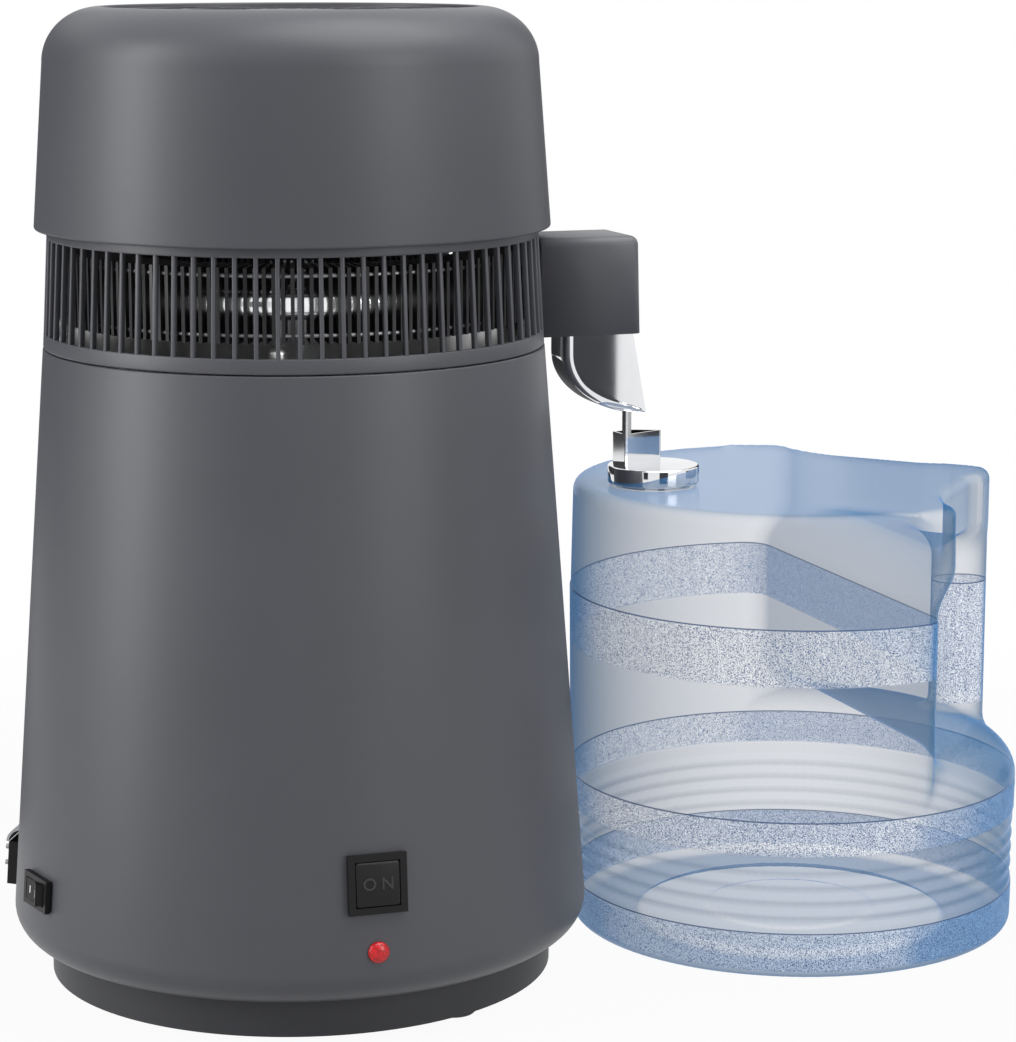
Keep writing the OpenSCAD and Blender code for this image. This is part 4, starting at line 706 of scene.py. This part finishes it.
# %% Sweep the tube
def swept(path, radius, sides):
    """A tube along a path, its rings carried along without twist."""
    points, faces = [], []
    across = None
    for i, here in enumerate(path):
        ahead = (path[min(i + 1, len(path) - 1)] - path[max(i - 1, 0)]).normalized()
        across = ahead.orthogonal() if across is None else across - across.dot(ahead) * ahead
        across.normalize()
        over = ahead.cross(across)
        for k in range(sides):
            a = 2 * math.pi * k / sides
            points.append(here + radius * (math.cos(a) * across + math.sin(a) * over))
    for i in range(len(path) - 1):
        for k in range(sides):
            a, b = i * sides + k, i * sides + (k + 1) % sides
            faces.append([a, b, b + sides, a + sides])
    faces += [list(range(sides))[::-1], [len(points) - sides + k for k in range(sides)]]
    return np.array([p[:] for p in points]), faces

tube = moved(swept(path, TUBE_R, TUBE_SIDES), AT_BOILER)
add_piece("condenser_bend", tube, "polished_tube", "head", "brushed_steel", ["condenser_tube"])

# %% [markdown]
# ## Arm
# The arm is a small box of the same grey, open below, with soft upper edges. Its finish is a paler
# copy of that grey: painted light, so that the arm, shaded by the head and the boiler, looks as lit
# as the casing. It is drawn as a rounded block with its floor and its inner end taken out, and then
# given a wall.

# %% Arm
ARM_NEAR, ARM_FAR_LOW, ARM_FAR_HIGH = 95.9, 138.6, 137.58
ARM_HALF, ARM_LOW, ARM_HIGH = 17.5, 252.4, 291.4
ARM_SOFT, ARM_WALL = 3.6, 1.8

bm = bmesh.new()
bmesh.ops.create_cube(bm, size=1.0)
for v in bm.verts:
    far = ARM_FAR_HIGH if v.co.z > 0 else ARM_FAR_LOW
    v.co = (
        far if v.co.x > 0 else ARM_NEAR,
        ARM_HALF if v.co.y > 0 else -ARM_HALF,
        ARM_HIGH if v.co.z > 0 else ARM_LOW,
    )
soft = [
    e for e in bm.edges
    if any(v.co.z > ARM_LOW + 1 for v in e.verts) and any(v.co.x > ARM_NEAR + 1 for v in e.verts)
]
bmesh.ops.bevel(bm, geom=soft, offset=ARM_SOFT, segments=7, affect="EDGES", profile=0.5)
gone = [f for f in bm.faces if min(abs(f.normal.z + 1), abs(f.normal.x + 1)) < 1e-3]
bmesh.ops.delete(bm, geom=gone, context="FACES")
arm = moved(shape_of(bm), AT_BOILER)
piece = add_piece("arm_shell", arm, "grey_arm_lit", "head", "grey_plastic", ["arm_cover"])
wall = piece.modifiers.new("wall", "SOLIDIFY")
wall.thickness, wall.offset = ARM_WALL * MM, -1.0

# %% [markdown]
# ## Spout
# The spout is one sheet of polished steel, folded to a trough that sweeps forward to a lip. A
# folded sheet has a round bend between its back and its sides. So the trough is drawn as rows of
# points: each row starts at one free edge, runs down that side, around the bend, over the back and
# up the other side.

# %% Outline of the spout
SPOUT_HALF, SPOUT_FOLD, SPOUT_SHEET = 9.6, 3.2, 0.9
SPOUT_X, SPOUT_TOP, SWEEP_Z = 109.2, 261.4, 244.0
LIP_X, LIP_Z = 143.4, 219.4
TUCK_X, FREE_X, FREE_Z = 135.9, 137.6, 251.8

back = [(SPOUT_X, z) for z in np.linspace(SPOUT_TOP, SWEEP_Z, 8)]
back += quarter((LIP_X, SWEEP_Z), LIP_X - SPOUT_X, SWEEP_Z - LIP_Z, 180, 270, 28)[1:]

def free_edge(z):
    """Where a side ends: upright inside the arm, then slanting forward to the lip."""
    if z >= FREE_Z:
        return Vector((TUCK_X, z))
    return Vector((FREE_X + (LIP_X - FREE_X) * (FREE_Z - z) / (FREE_Z - LIP_Z), max(z, LIP_Z)))

# %% Rows of the spout
rows = []
for i, (x, z) in enumerate(back):
    edge = free_edge(z)
    tangent = Vector(back[min(i + 1, len(back) - 1)]) - Vector(back[max(i - 1, 0)])
    inward = Vector((-tangent.y, tangent.x)).normalized()
    fold = min(SPOUT_FOLD, 0.5 * max(edge.x - x, 0.05))
    row = []
    for a in np.radians(np.linspace(0, 90, 9)):
        start = Vector((x, z)) + inward * fold * (1 - math.sin(a))
        row.append((start.x, -SPOUT_HALF + fold * (1 - math.cos(a)), start.y))
    first = Vector((row[0][0], row[0][2]))
    near = [first.lerp(edge, u) for u in (1.0, 0.75, 0.5, 0.25)]
    half = [(p.x, -SPOUT_HALF, p.y) for p in near] + row
    rows.append(half + [(p[0], -p[1], p[2]) for p in reversed(half)])
wide = len(rows[0])
faces = [
    [i * wide + k, i * wide + k + 1, (i + 1) * wide + k + 1, (i + 1) * wide + k]
    for i in range(len(rows) - 1) for k in range(wide - 1)
]
trough = moved((np.array(rows).reshape(-1, 3), faces), AT_BOILER)
piece = add_piece("spout_sheet", trough, "chrome", "head", "chrome", ["spout"], sharp=60.0)
sheet = piece.modifiers.new("sheet", "SOLIDIFY")
sheet.thickness, sheet.offset = SPOUT_SHEET * MM, 0.0
crisp = piece.modifiers.new("crisp", "EDGE_SPLIT")
crisp.split_angle = math.radians(60)

# %% [markdown]
# ## Start button and its word
# A square black button sits in a black frame on the cone's face, with the word ON moulded on it.

# %% Start button and its word
BUTTON_HALF, BUTTON_IN, BUTTON_OUT = 8.4, -8.3, 2.7
WORD_SIZE, WORD_OUT, WORD_DEEP, WORD_SOFT = 6.4, 2.75, 0.16, 0.08

spot = on_casing(*BUTTON_AT)
low, high = (BUTTON_IN, -BUTTON_HALF, -BUTTON_HALF), (BUTTON_OUT, BUTTON_HALF, BUTTON_HALF)
button = moved(block(low, high, 1.0, 4), spot)
add_piece("button_cap", button, "black_switch", "button", "black_plastic", ["start_button"])

word = bpy.data.curves.new("button_word", "FONT")
word.body, word.size = "O N", WORD_SIZE * MM
word.align_x, word.align_y = "CENTER", "CENTER"
word.extrude, word.bevel_depth, word.bevel_resolution = WORD_DEEP * MM, WORD_SOFT * MM, 2
word.materials.append(finishes["black_inside"])
upright = Matrix(((0, 0, 1, 0), (1, 0, 0, 0), (0, 1, 0, 0), (0, 0, 0, 1)))
word_at = spot @ Matrix.Translation((WORD_OUT, 0, 0)) @ upright
word_at.translation *= MM
piece = put("button_word", word)
piece.matrix_world = word_at
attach(piece, "button")
print("word on the button:", word.body)

# %% [markdown]
# ## Rocker marks
# The rocker's face has two slopes, and each carries a white printed mark: I for on and O for off.
# They are thin raised pieces that tip with the rocker.

# %% Rocker marks
ROCKER_REST = -9.0
FACE_SLOPE = math.atan(1.4 / 6.6)
FACE_OUT, MARK_SIDE = 2.95, 3.6
MARK_LOW, MARK_HIGH = -0.05, 0.08

def on_rocker(way):
    """A place on one slope of the rocker's face, on its -1 or its +1 side."""
    slope = Matrix.Rotation(-way * FACE_SLOPE, 4, "Z")
    return Matrix.Translation((FACE_OUT, way * MARK_SIDE, 0)) @ slope

bar_mark = block((MARK_LOW, -0.35, -1.5), (MARK_HIGH, 0.35, 1.5), 0.03)
ring_mark = turned([(1.0, MARK_LOW), (1.5, MARK_LOW), (1.5, MARK_HIGH), (1.0, MARK_HIGH)], count=40)
marks = joined([moved(bar_mark, on_rocker(-1)), moved(ring_mark, on_rocker(1) @ OUTWARD)])
rocker_spot = on_casing(*ROCKER_AT) @ Matrix.Rotation(math.radians(ROCKER_REST), 4, "Z")
marks = moved(marks, rocker_spot)
add_piece("rocker_marks", marks, "white_print", "switch_rocker", "black_plastic")

# %% [markdown]
# ## Jug
# The jug is the hardest shape of the set. Below the waist it is round, above it is cut flat on the
# side of the hand, and a handle column joins in through a bridge at the top and a flared root on
# the saddle. A blown part has no sharp joins, so it is described as one field of distances: each
# form gives its distance, and a soft union rounds where two forms meet. A grid then finds where
# the field is zero. That is the outer skin, and it is all that the thin wall needs.

# %% Joins of distance fields
def rounded_both(a, b, radius):
    """What lies in both forms, with that radius on the edge between them."""
    outside = np.hypot(np.maximum(radius + a, 0), np.maximum(radius + b, 0))
    return np.minimum(-radius, np.maximum(a, b)) + outside

def filleted(a, b, radius):
    """What lies in either form, with a hollow of that radius where they meet."""
    inside = np.hypot(np.maximum(radius - a, 0), np.maximum(radius - b, 0))
    return np.maximum(radius, np.minimum(a, b)) - inside

def soft_step(value, low, high):
    """0 below low and 1 above high, with a soft way between."""
    t = np.clip((value - low) / (high - low), 0, 1)
    return t * t * (3 - 2 * t)

def ellipse(across, up, half_across, half_up):
    """About how far a point lies outside an ellipse."""
    near = np.hypot(across / half_across, up / half_up)
    slope = np.hypot(across / half_across ** 2, up / half_up ** 2)
    return near * (near - 1) / np.maximum(slope, 1e-6)

# %% Lower part of the jug
WAIST_Z, WAIST_R, DRUM_LOW_R = 64.7, 93.4, 92.5
GROOVE_HIGH = GROOVE_LOW + GROOVE_COUNT * GROOVE_PITCH
BELOW_WAIST = 60.0

def jug_lower(x, y, z):
    """The drum with its grooves and its stepped floor, and the saddle on top of it."""
    r = np.hypot(x, y)
    wave = 0.6 * (1 - np.cos(2 * math.pi * (z - GROOVE_LOW) / GROOVE_PITCH))
    wall = DRUM_LOW_R + (WAIST_R - DRUM_LOW_R) * z / WAIST_Z
    wall = wall - np.where((z > GROOVE_LOW) & (z < GROOVE_HIGH), wave, 0)
    wall = wall - 0.35 * soft_step(z, 18.6, 19.0) * (1 - soft_step(z, 50.4, 50.9))
    floor = 3.0 * (1 - soft_step(r, 61.5, 66.0)) + 0.8 * (1 - soft_step(r, 34.0, 36.0))
    drum = rounded_both(rounded_both(r - wall, floor - z, 5.0), z - WAIST_Z, 0.7)
    saddle = ellipse(np.maximum(r - 63.4, 0), np.maximum(z - 64.2, 0.01), 30.0, 20.0)
    return np.minimum(drum, np.maximum(saddle, BELOW_WAIST - z))

# %% Upper part, handle and bridge
BAND_STEP_Z, JUG_TOP, TOP_SOFT = 142.0, 187.0, 4.6
FLAT_X, FLAT_SPREAD, BRIDGE_Z = 24.5, 9.0, 163.0
GRIP_X, GRIP_HALF_X, GRIP_HALF_Y = 76.5, 12.0, 10.0

def jug_field(x, y, z):
    """Distance to the jug's skin in millimetres, negative inside; x and y from its axis."""
    r = np.hypot(x, y)
    low_wall = WAIST_R + 0.5 * (z - WAIST_Z) / (BAND_STEP_Z - WAIST_Z)
    high_wall = JUG_R - (z - BAND_STEP_Z) / (JUG_TOP - BAND_STEP_Z)
    wall = np.where(z < BAND_STEP_Z, low_wall, high_wall) - 0.4 * soft_step(z, 141.8, 142.3)
    flat = FLAT_X + FLAT_SPREAD * soft_step(z, 144.0, BRIDGE_Z)
    tub = rounded_both(r - wall, x - flat, 9.0)
    grip = ellipse(x - GRIP_X, y, GRIP_HALF_X, GRIP_HALF_Y)
    side = 13.0 + 1.15 * np.maximum(GRIP_X - x, 0)
    bridge = np.maximum((np.abs(y) - side) * 0.65, np.maximum(10.0 - x, x - GRIP_X))
    bridge = rounded_both(bridge, BRIDGE_Z - z, 4.0)
    upper = filleted(filleted(tub, bridge, 9.0), grip, 14.0)
    upper = np.maximum(rounded_both(upper, z - JUG_TOP, TOP_SOFT), BELOW_WAIST - z)
    meet = (9.7 - 5.0 * soft_step(x, 45.0, 60.0)) * soft_step(x, 8.0, 26.0)
    meet = 0.3 + meet * (1 - soft_step(r, 84.0, 93.0))
    on_side = soft_step(x, 4.0, 16.0)
    lower = jug_lower(x, y, z)
    both = on_side * filleted(upper, lower, meet) + (1 - on_side) * np.minimum(upper, lower)
    return np.maximum(both, r - np.where(z < WAIST_Z, WAIST_R, wall))

# %% Points of the skin
PULLS, PROBE, MOST_PULL = 6, 0.05, 0.8

def skin_points(inside, grid):
    """One point for each grid cell that the surface crosses, and each cell's point number."""
    sizes = np.array(inside.shape) - 1
    counts = np.zeros(sizes, int)
    for shift in np.ndindex(2, 2, 2):
        counts += inside[tuple(slice(s, s + n) for s, n in zip(shift, sizes))]
    cells = np.argwhere((counts > 0) & (counts < 8))
    number = -np.ones(counts.shape, int)
    number[tuple(cells.T)] = np.arange(len(cells))
    points = np.stack([(g[cells[:, k]] + g[cells[:, k] + 1]) / 2 for k, g in enumerate(grid)], 1)
    for _ in range(PULLS):
        here = jug_field(*points.T)
        slope = np.stack([
            (jug_field(*(points + d).T) - jug_field(*(points - d).T)) / (2 * PROBE)
            for d in np.eye(3) * PROBE
        ], 1)
        step = -(here / np.maximum((slope ** 2).sum(1), 0.2))[:, None] * slope
        points += np.clip(step, -MOST_PULL, MOST_PULL)
    return points, number

# %% Faces of the skin
def skin_faces(inside, number):
    """One face for each grid edge that the surface crosses."""
    faces = []
    for axis, count in enumerate(inside.shape):
        u, v = (axis + 1) % 3, (axis + 2) % 3
        first = np.take(inside, range(count - 1), axis)
        last = np.take(inside, range(1, count), axis)
        for enters in (False, True):
            crossed = np.argwhere((first == enters) & (last != enters))
            corner = []
            for du, dv in ((-1, -1), (0, -1), (0, 0), (-1, 0)):
                at = crossed.copy()
                at[:, u] += du
                at[:, v] += dv
                corner.append(number[tuple(at.T)])
            faces.append(np.stack(corner if enters else corner[::-1], 1))
    return np.concatenate(faces)

# %% Skin of the jug
LAYERS = (
    (-3, 20, 0.9), (20, 47, 0.75), (47, 68, 0.9), (68, 140, 2.0), (140, 144, 0.5), (144, 192, 1.6),
)
xs = np.arange(-97.2, 97.3, 1.8)
grid = [xs, xs, np.concatenate([np.arange(*layer) for layer in LAYERS])]
inside = jug_field(*np.meshgrid(*grid, indexing="ij")) < 0
points, number = skin_points(inside, grid)
points = points + (JUG_X, 0, 0)
mesh = bpy.data.meshes.new("jug_walls")
mesh.from_pydata((points * MM).tolist(), [], skin_faces(inside, number).tolist())
print("jug skin:", len(points), "points, height", points[:, 2].min(), points[:, 2].max())

# %% [markdown]
# ## Mouth of the jug
# The filling mouth is a round hole in the top with a low neck around it. One Boolean joins the neck
# on and a second one bores it. The bore stops just under the top, and its floor is then deleted,
# which leaves the thin skin open there.

# %% Mouth of the jug
MOUTH = (BOILER_X + 152.4, 4.0)
MOUTH_R, BORE_Z, BORE_TOP = 15.3, 186.4, 192.0
NECK_R, NECK_IN_R, NECK_LOW, NECK_HIGH = 17.7, 13.0, 185.4, 188.4
PLUG_FROM, PLUG_TO, PLUG_R = 0.18, 0.18645, 0.0154

neck = soften([
    (NECK_IN_R, NECK_LOW, 0), (NECK_R, NECK_LOW, 0),
    (NECK_R, NECK_HIGH, 0.8), (NECK_IN_R, NECK_HIGH, 0),
])
mesh = boolean(mesh, turned(neck, MOUTH, 96), "UNION")
mesh = boolean(mesh, turned(rod(MOUTH_R, BORE_Z, BORE_TOP), MOUTH, 96), "DIFFERENCE")
middle = Vector(MOUTH) * MM

def in_plug(v):
    """Whether a point lies on the floor of the bore, in metres."""
    return PLUG_FROM < v.co.z < PLUG_TO and (v.co.xy - middle).length < PLUG_R

bm = bmesh.new()
bm.from_mesh(mesh)
plug = [f for f in bm.faces if all(in_plug(v) for v in f.verts)]
bmesh.ops.delete(bm, geom=plug, context="FACES")
bm.to_mesh(mesh)
bm.free()
print("opened the mouth:", len(plug), "faces taken out")
place_mesh("jug_walls", mesh, "blue_jug", "jug_body", "blue_jug", ["jug"], 50.0)

# %% [markdown]
# ## Cap
# The cap is a turned and chromed disc with a drip hole beside its middle. A short plug keeps it in
# the neck. Its edges are a little broken, which gives the thin bright lines around it.

# %% Cap
CAP_R, CAP_LOW, CAP_HIGH = 18.7, 188.4, 195.6
CAP_PLUG_R, CAP_PLUG_LOW = 14.9, 186.9
DRIP_R, DRIP_FROM_MIDDLE, DRIP_TURN = 3.2, 10.6, 123.0

lid = soften([
    (0.0, CAP_PLUG_LOW, 0), (CAP_PLUG_R, CAP_PLUG_LOW, 0), (CAP_PLUG_R, CAP_LOW, 0),
    (CAP_R, CAP_LOW, 0.5), (CAP_R, CAP_HIGH, 0.8), (0.0, CAP_HIGH, 0),
])
drip_turn = math.radians(DRIP_TURN)
drip = (
    MOUTH[0] + DRIP_FROM_MIDDLE * math.cos(drip_turn),
    MOUTH[1] + DRIP_FROM_MIDDLE * math.sin(drip_turn),
)
drip_hole = turned(rod(DRIP_R, 185.0, 198.0), drip, 48)
mesh = boolean(clean_mesh("cap_lid", turned(lid, MOUTH, 128)), drip_hole, "DIFFERENCE")
place_mesh("cap_lid", mesh, "chrome", "cap", "chrome", ["jug_cap"])

# %% [markdown]
# ## Studio
# The picture shows the set on white, in broad soft light that comes mostly from the left and above.
# The floor takes part of its white from its own glow for the camera and for mirror and glass rays,
# so that chrome and jug see the same white, and the rest from the lamps, so that the shadow stays.

# %% Floor
FLOOR_SIZE, FLOOR_Z = 18.0, -0.0003

def rectangle(name, wide, high, z=0.0):
    """A flat card about its own middle, in metres."""
    x, y = wide / 2, high / 2
    mesh = bpy.data.meshes.new(name)
    mesh.from_pydata([(-x, -y, z), (x, -y, z), (x, y, z), (-x, y, z)], [], [(0, 1, 2, 3)])
    return mesh

def seen_white(wire):
    """1 for rays from the camera, from a mirror and through glass."""
    camera_ray, glossy_ray, glass_ray = [wire.node("LightPath", out=k) for k in (0, 3, 6)]
    return (camera_ray + glossy_ray + glass_ray).rise(0.0, 1.0)

floor = put("floor", rectangle("floor", FLOOR_SIZE, FLOOR_SIZE, FLOOR_Z))
floor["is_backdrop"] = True
wire, shader = start_finish("studio_floor", Base_Color=(0.4, 0.4, 0.4, 1), Roughness=0.9)
floor.data.materials.append(finishes["studio_floor"])
away = wire.node("TexCoord", out=OBJECT_PLACE).length()
glow = (0.95 + 0.05 * away.rise(0.25, 0.75)) * seen_white(wire)
white = wire.node("Emission", Color=(1, 1, 1, 1), Strength=1.0)
mixed = wire.node("MixShader", s0=glow, s1=Wire(wire.tree, shader.outputs[0]), s2=white)
wire.feed(wire.tree.nodes["Material Output"], "Surface", mixed)

# %% Backdrop
ROOM_LIGHT = 0.26

world = bpy.data.worlds.new("studio")
bpy.context.scene.world = world
world.use_nodes = True
wire = Wire(world.node_tree)
sky = world.node_tree.nodes["Background"]
wire.feed(sky, "Color", (1, 1, 1, 1))
wire.feed(sky, "Strength", ROOM_LIGHT + (1 - ROOM_LIGHT) * seen_white(wire))
print("floor and backdrop are white for the camera, the room lights at", ROOM_LIGHT)

# %% Lamps
def aimed(name, data, place, aim):
    """An object at a place, turned to look at its aim."""
    made = put(name, data)
    made.location = place
    made.rotation_euler = (Vector(aim) - Vector(place)).to_track_quat("-Z", "Y").to_euler()
    return made

def soft_box(name, place, power, wide, high, aim=(-0.05, 0, 0.18)):
    """A wide lamp of that power in watts."""
    lamp = bpy.data.lights.new(name, "AREA")
    lamp.shape, lamp.size, lamp.size_y, lamp.energy = "RECTANGLE", wide, high, power
    aimed(name, lamp, place, aim)

soft_box("left_box", (-1.295, -0.04, 0.45), 16.0, 0.45, 1.5, (-0.095, 0, 0.2))
soft_box("top_box", (0.3, -0.3, 1.5), 21.0, 1.3, 1.2)
soft_box("front_box", (0.8, -1.5, 0.7), 10.0, 0.7, 0.9)

# %% [markdown]
# ## Dark flags
# Bright metal on white looks like paper unless it has something dark to mirror. Photographers stand
# black cards just outside the picture for that. These flags are seen by mirror rays alone: they
# cast no shadow, and no view of the camera can meet them. The small one in front is grey, for the
# soft grey on the spout's side.

# %% Dark flags
def flag(name, place, wide, high, finish="black_inside", aim=(0.03, 0, 0.2)):
    """A card that only mirror rays can see."""
    card = aimed(name, rectangle(name, wide, high), place, aim)
    card.data.materials.append(finishes[finish])
    card.visible_camera = card.visible_diffuse = False
    card.visible_shadow = card.visible_transmission = False
    card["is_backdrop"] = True

flag("flag_right", (0.8, 0.85, 0.4), 0.5, 1.2)
flag("flag_side", (1.15, 0.05, 0.1), 1.0, 0.22)
flag("flag_back", (-0.62, 1.05, 0.3), 1.4, 1.0)
flag("flag_front", (0.07, -0.2, 0.19), 0.076, 0.095, "flag_card", (0.07, 0, 0.19))
flag("flag_floor", (0.1, 0.75, 0.0005), 0.9, 1.0, aim=(0.1, 0.75, -1.0))
flag("flag_left", (-0.75, -0.95, 0.3), 0.25, 0.9)

# %% [markdown]
# ## The size of the dressed model is printed.
# The dressed model has to stay inside the box of the solid one, so both are written down.

# %% Size of the dressed model
bpy.context.view_layer.update()
low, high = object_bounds()
print("dressed size", [round(v, 4) for v in high - low], "m")
